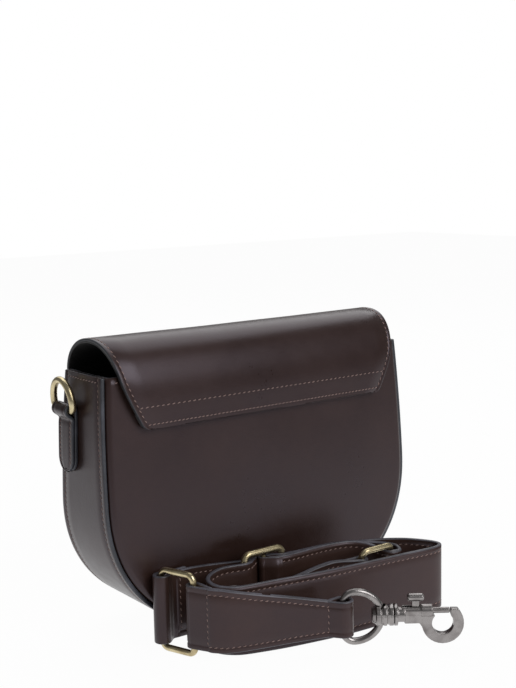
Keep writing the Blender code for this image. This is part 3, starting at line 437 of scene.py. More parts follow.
def round_end(stations, at_start, roundness):
    """More stations past an end, so that the strip's cut end is a round bead too."""
    end, next_one = (stations[0], stations[1]) if at_start else (stations[-1], stations[-2])
    outward = (end.centre - next_one.centre).normalized()
    corner = end.half_thickness * roundness
    more = []
    for degrees in (25, 50, 72, 88):
        turn = math.radians(degrees)
        shrink = corner * (1 - math.cos(turn))
        more.append(end._replace(centre=end.centre + outward * corner * (math.sin(turn) - 1),
                                 half_width=max(end.half_width - shrink, least_half_width),
                                 half_thickness=end.half_thickness - shrink))
    moved = end._replace(centre=end.centre - outward * corner)
    return more[::-1] + [moved] + stations[1:] if at_start else stations[:-1] + [moved] + more


def show(name, shape, finishes):
    """Turn a shape into an object with its finishes, smoothly shaded."""
    bmesh.ops.recalc_face_normals(shape, faces=shape.faces)
    mesh = bpy.data.meshes.new(name)
    shape.to_mesh(mesh)
    shape.free()
    for finish in finishes:
        mesh.materials.append(finish)
    mesh.shade_smooth()
    piece = bpy.data.objects.new(name, mesh)
    bpy.context.scene.collection.objects.link(piece)
    return piece


def strip(name, stations, finishes, channel=0, columns=6, ends=(True, True), roundness=0.55, sag=None):
    """A strip of leather: finishes are its grain side, its painted edge and its back."""
    for at_start, wanted in zip((True, False), ends):
        if wanted:
            stations = round_end(stations, at_start, roundness)
    shape = bmesh.new()
    rows = []
    for index, station in enumerate(stations):
        row = []
        around = section(station.half_width, station.half_thickness, channel, columns, roundness)
        for across, out, kind in around:
            share = across / station.half_width
            out += sag(index / (len(stations) - 1), share, station) if sag else 0
            row.append((shape.verts.new(station.centre + station.across * across + station.out * out), kind))
        rows.append(row)
    for first, second in zip(rows, rows[1:]):
        count = len(first)
        for column in range(count):
            after = (column + 1) % count
            face = shape.faces.new((first[column][0], first[after][0], second[after][0], second[column][0]))
            face.material_index = first[column][1]
    for row in (rows[0], rows[-1]):
        shape.faces.new([vert for vert, kind in row]).material_index = 1
    piece = show(name, shape, finishes)
    print(name, "has", len(piece.data.vertices), "vertices")
    return piece


# %% [markdown]
# ## Sewing
# The real bag is sewn with single slanting stitches that lie in a pressed line. They are about 3.5 mm
# apart on the strap and the panels, and closer together, down to 2.4 mm, on the gusset, the flap's lower
# edge and the tabs. Each stitch is its own short piece of thread whose ends dip into the leather. A picture
# of thread would look flat from the side, so every stitch is modelled, and all the stitches on one moving
# part become one object.

# %% The stitch helper
stitch_pitch = 0.0035
stitch_length = 0.0019
thread_radius = 0.00025


def stitch_row(points, outs, pitch=stitch_pitch, slant_degrees=16):
    """Stitches along a line of points, each with the direction that its leather faces."""
    lengths = [0]
    for before, after in zip(points, points[1:]):
        lengths.append(lengths[-1] + (after - before).length)
    count = max(int(lengths[-1] / pitch), 1)
    stitches = []
    segment = 0
    for stitch in range(count):
        target = lengths[-1] * (stitch + 0.5) / count
        while lengths[segment + 1] < target:
            segment += 1
        share = (target - lengths[segment]) / (lengths[segment + 1] - lengths[segment])
        middle = points[segment].lerp(points[segment + 1], share)
        out = outs[segment].lerp(outs[segment + 1], share).normalized()
        along = points[segment + 1] - points[segment]
        along = (along - out * along.dot(out)).normalized()
        along = Matrix.Rotation(math.radians(slant_degrees), 3, out) @ along
        stitches.append((middle, along, out))
    return stitches


def sew(name, rows, body):
    """One object with every stitch of some rows, which rides on a body."""
    shape = bmesh.new()
    beads = [(-0.5, 0.35, -0.55), (-0.42, 0.8, -0.05), (-0.2, 1.0, 0.3), (0.2, 1.0, 0.3), (0.42, 0.8, -0.05),
             (0.5, 0.35, -0.55)]
    count = 0
    for row in rows:
        for middle, along, out in row:
            side = along.cross(out)
            rings = []
            for share, girth, rise in beads:
                centre = middle + along * stitch_length * share + out * thread_radius * rise
                ring = []
                for step in range(6):
                    turn = math.pi / 3 * step
                    around = side * math.cos(turn) + out * math.sin(turn)
                    ring.append(shape.verts.new(centre + around * thread_radius * girth))
                rings.append(ring)
            for first, second in zip(rings, rings[1:]):
                for step in range(6):
                    after = (step + 1) % 6
                    shape.faces.new((first[step], first[after], second[after], second[step]))
            shape.faces.new(rings[0])
            shape.faces.new(rings[-1])
            count += 1
    piece = show(name, shape, [thread])
    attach(piece, body)
    print(name, "has", count, "stitches")


def row_along(stations, from_edge, edge=1, face=1, first=0, last=None, pitch=stitch_pitch):
    """A stitch row along a strip, a distance in from one edge, on one of its faces."""
    chosen = stations[first:last]
    points = []
    for station in chosen:
        across = station.across * (station.half_width - from_edge) * edge
        out = station.out * (station.half_thickness - channel_depth) * face
        points.append(station.centre + across + out)
    return stitch_row(points, [station.out * face for station in chosen], pitch)


def row_across(station, from_edge, face=1, count=12, pitch=stitch_pitch):
    """A stitch row across a strip at one station."""
    reach = station.half_width - from_edge
    middle = station.centre + station.out * station.half_thickness * face
    points = [middle + station.across * reach * (2 * step / count - 1) for step in range(count + 1)]
    return stitch_row(points, [station.out * face] * len(points), pitch)


# %% [markdown]
# ## The bag's outline
# The two panels and the gusset share one outline: a mouth 219 mm wide, sides that swell to 225 mm and a
# base that is a soft arch with a short flat. A superellipse gives such a shape with few numbers. The
# gusset is deeper at the base than at the mouth, so the panels lean towards each other.

# %% Outline and depth, in metres
bag_width, mouth_width = 0.225, 0.219
bag_height, widest_height = 0.158, 0.083
base_flat_width = 0.036
base_depth, mouth_depth = 0.062, 0.043
side_roundness, base_roundness = 2.21, 2.18
panel_leather, gusset_leather, lining_leather = 0.0018, 0.0024, 0.0007
fit_gap = 0.0003
panel_stand_out, panel_bend_radius, panel_flange_width = 0.0026, 0.0035, 0.011
panel_inset = gusset_leather + fit_gap
lining_inset = panel_inset + panel_bend_radius + fit_gap


def outline(inset, round_steps=44, wall_steps=18):
    """Pairs of x and z from the left end of the mouth, under the base, to the right end."""
    half = bag_width / 2
    flat = base_flat_width / 2
    right = [(0, 0), (flat / 2, 0)]
    for step in range(round_steps + 1):
        turn = math.pi / 2 * step / round_steps
        across = math.sin(turn) ** (2 / side_roundness)
        up = abs(math.cos(turn)) ** (2 / base_roundness)
        right.append((flat + (half - flat) * across, widest_height * (1 - up)))
    for step in range(1, wall_steps + 1):
        share = step / wall_steps
        x = half - (bag_width - mouth_width) / 2 * share ** 2
        right.append((x, widest_height + (bag_height - widest_height) * share))
    moved = []
    for index, (before, (x, z), after) in enumerate(with_neighbours(right)):
        along = Vector((after[0] - before[0], after[1] - before[1])).normalized()
        if index < 3:
            along = Vector((1, 0))
        moved.append((x - along.y * inset, z + along.x * inset))
    moved[-1] = (moved[-1][0], bag_height)
    return [(-x, z) for x, z in reversed(moved[1:])] + moved


def half_depth(z):
    """Half the gusset's depth at a height."""
    return (base_depth + (mouth_depth - base_depth) * z / bag_height) / 2


def outline_stations(inset, half_thickness, edge_forward=0.0):
    """Stations of a strip that follows the outline."""
    points = [Vector((x, 0, z)) for x, z in outline(inset + half_thickness)]
    stations = []
    for before, point, after in with_neighbours(points):
        along = (after - before).normalized()
        out = Vector((along.z, 0, -along.x))
        width = half_depth(point.z) + edge_forward
        stations.append(Station(point, out, Vector((0, 1, 0)), width, half_thickness))
    return stations


print("outline has", len(outline(0)), "points")

# %% [markdown]
# ## Gusset
# The gusset is one long strip of thick leather from one end of the mouth to the other. It is laid over the
# panels' flanges and sewn through near both edges. Its cut edges are painted, and they catch the light as
# a blue-grey line all round the bag. It bows outwards a little at the mouth, where nothing holds it flat,
# so the short row of stitches there has to follow the bow, or it would be buried in the leather.

# %% Gusset, its lining and their sewing
gusset_stations = outline_stations(0, gusset_leather / 2)
gusset_row_inset, gusset_pitch = 0.0040, 0.0030
bow_height, bow_start_share = 0.0009, 0.72


def mouth_bow(row_share, across_share, station):
    """How far a strip on the outline stands out near the mouth."""
    near_mouth = max(0, (abs(row_share - 0.5) * 2 - bow_start_share) / (1 - bow_start_share))
    return bow_height * near_mouth ** 2 * (1 - across_share ** 2)


gusset = strip("gusset_leather", gusset_stations, bag_finishes, gusset_row_inset, 8, sag=mouth_bow)
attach(gusset, "bag")
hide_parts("gusset")
lining_stations = outline_stations(panel_inset, lining_leather / 2, -panel_flange_width - fit_gap)
gusset_lining = strip("gusset_inner_ply", lining_stations, [lining, bag_edge, lining], 0, 6)
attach(gusset_lining, "bag")
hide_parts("gusset_lining")
bag_rows = [row_along(gusset_stations, gusset_row_inset, edge, pitch=gusset_pitch) for edge in (-1, 1)]
mouth_row_drop = 0.0030


def gusset_mouth_row(end, next_one):
    """The stitch row just under the gusset's cut end, on its bowed face."""
    station = gusset_stations[end]
    share = mouth_row_drop / (station.centre - gusset_stations[next_one].centre).length
    below = station.centre.lerp(gusset_stations[next_one].centre, share)
    reach = station.half_width - gusset_row_inset
    points = []
    for step in range(17):
        across_share = (step / 8 - 1) * reach / station.half_width
        out = station.half_thickness + mouth_bow(0, across_share, station)
        points.append(below + station.out * out + station.across * across_share * station.half_width)
    return stitch_row(points, [station.out] * len(points), gusset_pitch)


bag_rows += [gusset_mouth_row(0, 1), gusset_mouth_row(-1, -2)]
print("gusset is", round(2 * half_depth(0) * 1000, 1), "mm deep at the base")

# %% [markdown]
# ## Moulded panels
# The front and back panels are wet-moulded: the leather turns through a tight round bend to a flange that
# goes under the gusset, so the face stands a little in front of the gusset's edge, behind a dark groove.
# The rings of the bend follow the outline. The face is filled with rings that shrink towards the middle
# of the mouth, so that it can swell softly in the way that leather over a filled bag does.

# %% Front and back panels
swell_height, ripple_height, ripples_per_metre = 0.0010, 0.0004, 22
fill_shares = (0.975, 0.94, 0.89, 0.82, 0.74, 0.65, 0.55, 0.45, 0.35, 0.25, 0.15, 0.07)


def panel_profile():
    """Inset and distance forward of a panel's outer and inner skins, from flange to face."""
    bend_start = panel_stand_out - panel_bend_radius
    middle = panel_inset + panel_bend_radius
    outer = [(panel_inset, -panel_flange_width)]
    inner = [(panel_inset + panel_leather, -panel_flange_width)]
    for step in range(9):
        turn = math.pi / 2 * step / 8
        for line, radius in ((outer, panel_bend_radius), (inner, panel_bend_radius - panel_leather)):
            line.append((middle - radius * math.cos(turn), bend_start + radius * math.sin(turn)))
    return outer, inner


def face_swell(x, z, side):
    """How far a panel's face stands out beyond flat."""
    share_up = z / bag_height
    share_out = min(abs(x) / (bag_width / 2), 1)
    swell = swell_height * math.sin(math.pi * min(share_up, 1)) * (1 - share_out ** 3)
    at = Vector((x * ripples_per_metre, z * ripples_per_metre, 4.0 * side))
    ripple = noise.noise(at) * ripple_height
    return swell + ripple * (1 - share_out ** 4)


def bridge(shape, first, second, finish=0):
    """Faces between two lines of vertices."""
    for a, b, c, d in zip(first, first[1:], second[1:], second):
        shape.faces.new((a, b, c, d)).material_index = finish


def close_rim(shape, skins, finish=0):
    """Join two skins along their outline and at both ends of the mouth."""
    bridge(shape, skins[0][0], skins[1][0], finish)
    for end in (0, -1):
        bridge(shape, *([row[end] for row in rows] for rows in skins), finish)


def panel_skin(shape, line, side, swell_share):
    """One skin of a panel: rings along its profile, then rings that shrink to the mouth."""
    rings = []
    for inset, forward in line:
        rings.append([Vector((x, side * (half_depth(z) + forward), z)) for x, z in outline(inset)])
    edge = rings[-1]
    forward = line[-1][1]
    for share in fill_shares:
        ring = []
        for point in edge:
            x = point.x * share
            z = bag_height + (point.z - bag_height) * share
            ease = min(1, (1 - share) / 0.25)
            out = half_depth(z) + forward + face_swell(x, z, side) * ease * swell_share
            ring.append(Vector((x, side * out, z)))
        rings.append(ring)
    rows = [[shape.verts.new(point) for point in ring] for ring in rings]
    for first, second in zip(rows, rows[1:]):
        bridge(shape, first, second)
    shape.faces.new(rows[-1])
    return rows


def moulded_panel(name, side, node):
    """A whole panel with both skins and a painted rim."""
    shape = bmesh.new()
    close_rim(shape, [panel_skin(shape, line, side, 1) for line in panel_profile()], 1)
    piece = show(name, shape, [leather, bag_edge])
    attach(piece, "bag")
    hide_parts(node)
    print(name, "has", len(piece.data.vertices), "vertices")


moulded_panel("front_leather", -1, "front_panel")
moulded_panel("back_leather", 1, "back_panel")


def panel_mouth_row(side):
    """The stitch row just under the edge of the mouth on a panel's face."""
    z = bag_height - mouth_row_drop
    reach = mouth_width / 2 - panel_inset - panel_bend_radius
    points = []
    for step in range(41):
        x = reach * (step / 20 - 1)
        ease = min(1, (1 - abs(x) / (mouth_width / 2)) / 0.25)
        out = half_depth(z) + panel_stand_out + face_swell(x, z, side) * ease
        points.append(Vector((x, side * out, z)))
    return stitch_row(points, [Vector((0, side, 0))] * len(points))


bag_rows.append(panel_mouth_row(-1))

# %% [markdown]
# ## Linings inside the panels
# Behind each panel's face lies a thin black lining. It shows only when the flap is lifted, as a soft dark
# wall. It takes the same shrinking rings as the panel, with a little less swell.

# %% Panel linings


def panel_lining(name, side, node):
    """A thin sheet behind a panel's face."""
    shape = bmesh.new()
    face = panel_stand_out - panel_leather - fit_gap
    lines = ([(lining_inset, forward)] for forward in (face, face - lining_leather))
    close_rim(shape, [panel_skin(shape, line, side, 0.8) for line in lines])
    piece = show(name, shape, [lining])
    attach(piece, "bag")
    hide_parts(node)


panel_lining("front_inner_ply", -1, "front_lining")
panel_lining("back_inner_ply", 1, "back_lining")
print("linings made")

# %% [markdown]
# ## Flap
# The flap rises from the back panel, goes over the mouth in a rounded arch and hangs down the front to a
# straight edge. It is two plies, sewn 3 mm in from its sides and lower edge, with a second row above that
# one where a stiff strip is sewn in behind. Its side edges pull inwards down the front. In the real bag it
# is the back panel's own leather. Here it is a piece of its own, because it has to turn, and its root runs
# a little way down into the back panel's edge, so that no light shows between the two.

# %% The flap's line in side view, in metres
ridge_height, hang_height, flap_bottom = 0.1778, 0.136, 0.1270
front_reach = 0.0308
root_width, ridge_width, shoulder_width, bottom_width = 0.2140, 0.2100, 0.2020, 0.1750
flap_corner = 0.003
front_roundness, rear_roundness, taper = 2.4, 2.1, 1.3
hinge_depth = mouth_depth / 2 + panel_stand_out
root_height = bag_height + fit_gap
root_overlap = 0.0012
strip_height, strip_leather = 0.0125, 0.0010


def flap_half_width(z):
    """Half the flap's width in front."""
    if z > bag_height:
        share = (ridge_height - z) / (ridge_height - bag_height)
        return (ridge_width + (shoulder_width - ridge_width) * share) / 2
    share = ((bag_height - z) / (bag_height - flap_bottom)) ** taper
    half = (shoulder_width + (bottom_width - shoulder_width) * share) / 2
    below = flap_corner - (z - flap_bottom)
    if below > 0:
        half -= flap_corner - math.sqrt(max(flap_corner ** 2 - below ** 2, 0))
    return half


def flap_line(quarter_steps=26, hang_steps=16):
    """The flap's outer line, as y, z and half its width there."""
    points = [Vector((hinge_depth, root_height - root_overlap, root_width / 2))]
    for step in range(quarter_steps):
        turn = math.pi / 2 * step / quarter_steps
        y = hinge_depth * math.cos(turn) ** (2 / rear_roundness)
        z = root_height + (ridge_height - root_height) * math.sin(turn) ** (2 / rear_roundness)
        width = root_width + (ridge_width - root_width) * step / quarter_steps
        points.append(Vector((y, z, width / 2)))
    for step in range(quarter_steps + 1):
        turn = math.pi / 2 * step / quarter_steps
        y = -front_reach * math.sin(turn) ** (2 / front_roundness)
        z = hang_height + (ridge_height - hang_height) * abs(math.cos(turn)) ** (2 / front_roundness)
        points.append(Vector((y, z, flap_half_width(z))))
    for step in range(1, hang_steps + 1):
        share = 1 - (1 - step / hang_steps) ** 2
        z = hang_height - (hang_height - flap_bottom) * share
        points.append(Vector((-front_reach, z, flap_half_width(z))))
    return points


def flap_stations(inset, thickness, top=None):
    """Stations of one ply of the flap, with its outer face an inset inside the flap's line."""
    line = flap_line()
    stations = []
    for index, (before, point, after) in enumerate(with_neighbours(line)):
        along = Vector((0, after.x - before.x, after.y - before.y)).normalized()
        if index < 2:
            along = Vector((0, 0, 1))
        out = Vector((0, along.z, -along.y))
        centre = Vector((0, point.x, point.y)) - out * (inset + thickness / 2)
        stations.append(Station(centre, out, Vector((1, 0, 0)), point.z, thickness / 2))
    if top is not None:
        stations = [station for station in stations if station.centre.z < top and station.centre.y < 0]
    return stations


print("flap's line has", len(flap_line()), "points")

# %% Flap leather, its lining, its strip and their sewing
flap_row_inset = 0.0030
side_pitch, lower_pitch, upper_pitch = 0.0034, 0.00275, 0.0035
upper_row_drop = 0.0015
ply_gap = 0.00005
hollow_depth, unevenness = 0.0004, 0.0002


def flap_sag(row_share, across_share, station):
    """The flap is a little hollow between its ends over the arch, and uneven as worn leather is."""
    over_arch = math.sin(math.pi * min(row_share * 1.15, 1))
    wave = noise.noise(Vector((across_share * 2.2, row_share * 2.5, 3.0))) * unevenness
    return -hollow_depth * over_arch * (1 - across_share ** 2) + wave * (1 - across_share ** 6)


flap_outer = flap_stations(0, panel_leather)
flap_piece = strip("flap_leather", flap_outer, flap_finishes, flap_row_inset, 20, (False, True), sag=flap_sag)
lining_top = panel_leather + ply_gap
flap_inner = flap_stations(lining_top, lining_leather)
# The inner ply's edge takes the near-black paint: painted shade under the outer ply's edge
flap_under = strip("flap_inner_ply", flap_inner, [lining, under_flap_painted_shade_edge, lining], 0, 20, (False, True),
                   sag=flap_sag)
strip_top = lining_top + lining_leather + fit_gap
strip_stations = flap_stations(strip_top, strip_leather, flap_bottom + strip_height)
# The strip's edge takes the near-black paint too: painted shade under the flap
strip_piece = strip("flap_stiffening_strip", strip_stations, [leather, under_flap_painted_shade_edge, leather], 0, 20)
for piece, node in ((flap_piece, "flap"), (flap_under, "flap_lining"), (strip_piece, "flap_strip")):
    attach(piece, "flap")
    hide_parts(node)
row_bottom = flap_bottom + flap_row_inset
side_end = max(index for index, station in enumerate(flap_outer) if station.centre.z > row_bottom)
flap_rows = [row_along(flap_outer, flap_row_inset, edge, 1, 4, side_end + 1, side_pitch) for edge in (-1, 1)]


def station_at_height(stations, z):
    """The front station nearest a height."""
    front = [station for station in stations if station.centre.y < 0]
    return min(front, key=lambda station: abs(station.centre.z - z))


for rise, pitch in ((flap_row_inset, lower_pitch), (strip_height - upper_row_drop, upper_pitch)):
    at_row = station_at_height(flap_outer, flap_bottom + rise)
    flap_rows.append(row_across(at_row, flap_row_inset, pitch=pitch))
sew("flap_stitches", flap_rows, "flap")

# %% [markdown]
# ## Side tabs and their D-rings
# On each side a tab is folded round the straight bar of a brass D-ring and sewn to the gusset in two rows.
# It is a single strip that runs up against the gusset, over the bar and down again, so both cut edges and
# the round lower ends of both plies show. The D-ring is a closed curve with a round bevel, of a wire a
# little thicker than the solid model's, as it looks in the photograph.

# %% Side tabs and D-rings
tab_width, tab_leather, tab_centre = 0.017, 0.0018, 0.0125
tab_bottom, tab_roll_height, tab_roll_offset = 0.100, 0.1365, 0.0025
side_opening, side_depth, side_wire, side_corner = 0.019, 0.0175, 0.0036, 0.004
side_ring_wire = 0.0041
tab_row_inset, tab_pitch = 0.0026, 0.0024
tab_sewn_from, tab_sewn_to = tab_bottom + 0.004, tab_roll_height - 0.006
tab_ply_gap, tab_roll_run = 0.0002, 0.002
side_tilt = math.radians(6)
roll_clearance = 0.0004


def gusset_half_width(z):
    """The bag's half width above its widest line."""
    share = max(z - widest_height, 0) / (bag_height - widest_height)
    return bag_width / 2 - (bag_width - mouth_width) / 2 * share ** 2


roll_x = gusset_half_width(tab_roll_height) + fit_gap + tab_leather + tab_roll_offset


def tab_stations(side):
    """Up the inner ply, round the ring's bar and down the outer ply."""
    radius = side_wire / 2 + roll_clearance + tab_leather / 2
    half = tab_width / 2
    straight = tab_roll_height - radius - tab_roll_run - tab_bottom
    heights = [tab_bottom + straight * step / 9 for step in range(10)]
    inner = [(gusset_half_width(z) + fit_gap + tab_leather / 2, z) for z in heights]
    outer = [(gusset_half_width(z) + fit_gap + tab_leather * 1.5 + tab_ply_gap, z) for z in heights]
    arc = []
    for degrees in range(190, -51, -20):
        turn = math.radians(degrees)
        arc.append((roll_x + radius * math.cos(turn), tab_roll_height + radius * math.sin(turn)))
    path = smooth_through(inner + arc + outer[::-1], 3)
    stations = []
    for before, point, after in with_neighbours(path):
        along = (after - before).normalized()
        out = Vector((-along.y, 0, along.x))
        below = half - (point.y - tab_bottom)
        reach = math.sqrt(max(half ** 2 - below ** 2, (half / 5) ** 2)) if below > 0 else half
        centre = Vector((side * point.x, tab_centre, point.y))
        facing = Vector((side * out.x, 0, out.z))
        stations.append(Station(centre, facing, Vector((0, 1, 0)), reach, tab_leather / 2))
    return stations


def ring(name, points, wire, matrix, finish, node, body, slot_name):
    """A closed loop of round wire, in place of the solid model's coarser one."""
    curve = bpy.data.curves.new(name, "CURVE")
    curve.dimensions = "3D"
    curve.bevel_depth = wire / 2
    curve.bevel_resolution = 6
    spline = curve.splines.new("POLY")
    spline.points.add(len(points) - 1)
    for point, (out, up) in zip(spline.points, points):
        point.co = (out, 0, up, 1)
    spline.use_cyclic_u = True
    spline.use_smooth = True
    curve.materials.append(finish)
    piece = bpy.data.objects.new(name, curve)
    piece.matrix_world = matrix
    bpy.context.scene.collection.objects.link(piece)
    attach(piece, body)
    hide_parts(node)
    print(name, "is a ring of", len(points), "points")


def d_points(opening, depth, wire, corner, corner_steps=8, arch_steps=28):
    """A D: a straight bar, two round corners and an arch."""
    half = (opening + wire) / 2
    lower, upper = [], []
    for step in range(corner_steps + 1):
        turn = math.pi / 2 * step / corner_steps
        lower.append((corner - corner * math.cos(turn), -(half - corner + corner * math.sin(turn))))
        upper.append((corner - corner * math.cos(turn), half - corner + corner * math.sin(turn)))
    arch = []
    for step in range(1, arch_steps):
        turn = math.pi * step / arch_steps
        arch.append((corner + (depth - corner) * math.sin(turn), -half * math.cos(turn)))
    return lower + arch + upper[::-1]


for side_name, side in (("left", -1), ("right", 1)):
    stations = tab_stations(side)
    tab = strip(side_name + "_tab_leather", stations, bag_finishes, tab_row_inset, 4)
    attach(tab, "bag")
    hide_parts(side_name + "_tab")
    outer_ply = stations[len(stations) // 2:]
    sewn = [station for station in outer_ply if tab_sewn_from < station.centre.z < tab_sewn_to]
    bag_rows += [row_along(sewn, tab_row_inset, edge, pitch=tab_pitch) for edge in (-1, 1)]
    out = Vector((side * math.sin(side_tilt), 0, math.cos(side_tilt)))
    upright = Matrix((out, out.cross(Vector((0, 1, 0))) * -1, Vector((0, 1, 0)))).transposed().to_4x4()
    place = Matrix.Translation((side * roll_x, tab_centre, tab_roll_height)) @ upright
    side_points = d_points(side_opening, side_depth, side_wire, side_corner)
    ring(side_name + "_side_ring", side_points, side_ring_wire, place, brass, side_name + "_d_ring",
         side_name + "_ring", "antique_brass")
sew("bag_stitches", bag_rows, "bag")

# %% [markdown]
# ## Strap rings and slider
# Two rectangular brass rings and a slider with a middle bar belong to the strap. They are bent from round
# wire, so each is a closed curve with a round bevel. The slider's frame is the thicker one. Its middle bar
# is right in the solid model, so it keeps its shape and takes the brass.

# %% Rectangular rings and slider
coil_left, coil_far, coil_length, coil_depth, coil_lean = -0.085, -0.038, 0.170, 0.052, 0.005
ring_wire, ring_opening, ring_spacing, ring_corner = 0.0038, 0.042, 0.0225, 0.004
slider_spacing, slider_wire = 0.0137, 0.0030
ring_middle = (ring_opening + 2 * ring_wire) / 2
end_ring_degrees, loop_ring_degrees = -70, 179
loop_lean = math.radians(23.6)


def plan_point(share):
    """A place on the ground from shares of the coil's length and depth."""
    return Vector((coil_left + coil_length * share[0], coil_far - coil_depth * share[1]))


def heading(degrees):
    """A direction on the ground."""
    return Vector((math.cos(math.radians(degrees)), math.sin(math.radians(degrees))))


def rectangle_points(width, height, steps=8):
    """A rectangle with round corners, its first bar on the upright axis."""
    points = []
    top, bottom = height / 2, -height / 2
    for x, z, first in ((width, top, 0), (0, top, 90), (0, bottom, 180), (width, bottom, 270)):
        middle_x = ring_corner if x == 0 else x - ring_corner
        middle_z = z - math.copysign(ring_corner, z)
        for step in range(steps + 1):
            turn = math.radians(first + 90 * step / steps)
            points.append((middle_x + ring_corner * math.cos(turn), middle_z + ring_corner * math.sin(turn)))
    return points


end_bar = plan_point((0, 0))
loop_bar = plan_point((0.8118, 0.6269))
slider_left = plan_point((0.293, 0.22))
ring_points = rectangle_points(ring_spacing, ring_opening + ring_wire)
leaning_middle = ring_wire / 2 + (ring_middle - ring_wire / 2) * math.cos(loop_lean)


def standing(place, degrees, height, lean=0.0):
    """The matrix of a ring that stands on the ground, turned to a heading and leaning back."""
    turn = Matrix.Rotation(math.radians(degrees), 4, "Z") @ Matrix.Rotation(-lean, 4, "X")
    return Matrix.Translation((place.x, place.y, height)) @ turn


ring("end_rectangle", ring_points, ring_wire, standing(end_bar, end_ring_degrees, ring_middle), brass,
     "end_ring", "end_ring", "antique_brass")
loop_place = standing(loop_bar, loop_ring_degrees, leaning_middle, loop_lean)
ring("loop_rectangle", ring_points, ring_wire, loop_place, brass, "loop_ring", "strap", "antique_brass")
slider_frame_wire = 0.0042
slider_height = ring_middle + (slider_frame_wire - ring_wire) / 2
slider_points = rectangle_points(2 * slider_spacing, ring_opening + ring_wire)
ring("slider_rectangle", slider_points, slider_frame_wire, standing(slider_left, 0, slider_height), brass,
     "slider_frame", "strap", "antique_brass")


def refinish(node, finish):
    """Give a solid that keeps its shape a finish that was made here."""
    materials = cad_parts[node].data.materials
    materials.clear()
    materials.append(finish)


refinish("slider_bar", brass)
print("slider's bar keeps its shape")

# %% [markdown]
# ## Shoulder strap
# The strap is two plies of leather sewn together along both edges, 40 mm wide and 2.4 mm thick, with pale
# grey edge paint. It stands on its edge in a flat coil: round the outside, through the slider, back round
# the inner ring and to the slider's middle bar. Its route is a list of plan points that came from the
# photograph, and one smooth curve runs through them.

# %% The strap's route
strap_width, strap_thickness, slider_ply = 0.040, 0.0024, 0.0012
strap_lift = ring_wire + (ring_opening - strap_width) / 2
weave_share = 0.72
# Shares along the coil and across it, then of the lift and of the lean
outer_route = [
    (0.055, -0.01, 1.0, 0), (0.12, -0.02, 0.9, 0), (0.21, -0.03, 0.6, 0), (0.32, -0.01, 0.2, 0),
    (0.44, 0.03, 0, 0), (0.56, 0.08, 0, 0), (0.68, 0.145, 0, 0), (0.77, 0.22, 0, 0), (0.85, 0.32, 0, 0),
    (0.905, 0.43, 0, 0), (0.95, 0.55, 0, 0), (0.98, 0.68, 0, 0), (1.0, 0.80, 0, 0), (1.008, 0.895, 0, 0),
    (1.0, 0.965, 0, 0), (0.975, 1.0, 0, 0), (0.93, 1.0, 0, 0), (0.82, 0.965, 0, 0.2),
    (0.655, 0.925, 0, 0.8), (0.545, 0.89, 0, 1), (0.44, 0.835, 0, 1), (0.325, 0.76, 0, 1),
    (0.235, 0.70, 0, 0.5), (0.18, 0.65, 0, 0.2),
    (0.14, 0.58, 0.1, 0), (0.118, 0.49, 0.2, 0), (0.112, 0.40, 0.4, 0), (0.122, 0.315, 0.6, 0),
    (0.15, 0.26, 0.8, 0), (0.19, 0.24, 1, 0), (0.23, 0.25, 1, 0),
]
# Shares along and across the coil, then of the inner ring's lean and of the lift
inner_route = [
    (0.4882, 0.2846, 0, 0.94), (0.5294, 0.2769, 0, 0.85), (0.6059, 0.25, 0, 0.7),
    (0.6706, 0.2462, 0.05, 0.62),
    (0.7235, 0.2942, 0.19, 0.62), (0.7588, 0.3365, 0.31, 0.65), (0.7941, 0.3942, 0.5, 0.7),
    (0.8235, 0.4519, 0.69, 0.8), (0.8441, 0.5288, 0.81, 0.9), (0.8506, 0.6, 0.91, 1),
    (0.8447, 0.6615, 0.97, 1), (0.8329, 0.7077, 1, 1),
]
return_route = [
    (0.7882, 0.5673, 1, 1), (0.7788, 0.4923, 0.8, 1), (0.7559, 0.4269, 0.5, 1), (0.7176, 0.3769, 0.2, 1),
    (0.6647, 0.35, 0.05, 1), (0.5941, 0.3385, 0, 1), (0.5294, 0.3404, 0, 1),
]


def leaning(share, lift_share=1.0):
    """Lift and lean of a point that takes a share of the inner ring's lean."""
    lean = loop_lean * share
    return strap_lift * lift_share * math.cos(lean), -strap_width * math.sin(lean)


def strap_points():
    """Plan place, lift and lean of each point of the strap's route."""
    route = [(*plan_point(share), share[2] * strap_lift, share[3] * coil_lean) for share in outer_route]
    bar = slider_left
    clear = ring_wire / 2 + roll_clearance + strap_thickness / 2
    behind = slider_wire / 2 + roll_clearance + slider_ply + roll_clearance + strap_thickness / 2
    middle_bar, far_bar = bar.x + slider_spacing, bar.x + 2 * slider_spacing
    near_clear, near_behind = clear * weave_share, behind * weave_share
    weave = [(bar.x - clear, bar.y - clear), (bar.x, bar.y - clear),
             (bar.x + near_clear, bar.y - near_clear), (middle_bar - near_behind, bar.y + near_behind),
             (middle_bar, bar.y + behind), (middle_bar + near_behind, bar.y + near_behind),
             (far_bar - near_clear, bar.y - near_clear), (far_bar, bar.y - clear),
             (far_bar + clear, bar.y - clear)]
    route += [(x, y, strap_lift, 0) for x, y in weave]
    route += [(*plan_point(share), *leaning(*share[2:])) for share in inner_route]
    for degrees in (-90, -135, -180):
        around = heading(degrees) * (clear + fit_gap)
        route.append((loop_bar.x + around.x, loop_bar.y + around.y / math.cos(loop_lean), *leaning(1)))
    route += [(*plan_point(share), *leaning(*share[2:])) for share in return_route]
    beside = clear + strap_thickness + roll_clearance
    for x in (far_bar + beside, far_bar):
        route.append((x, bar.y - beside, strap_lift, 0))
    roll = slider_wire / 2 + roll_clearance + slider_ply
    route.append((middle_bar + roll * 1.6, bar.y - roll * 1.6, strap_lift, 0))
    return route


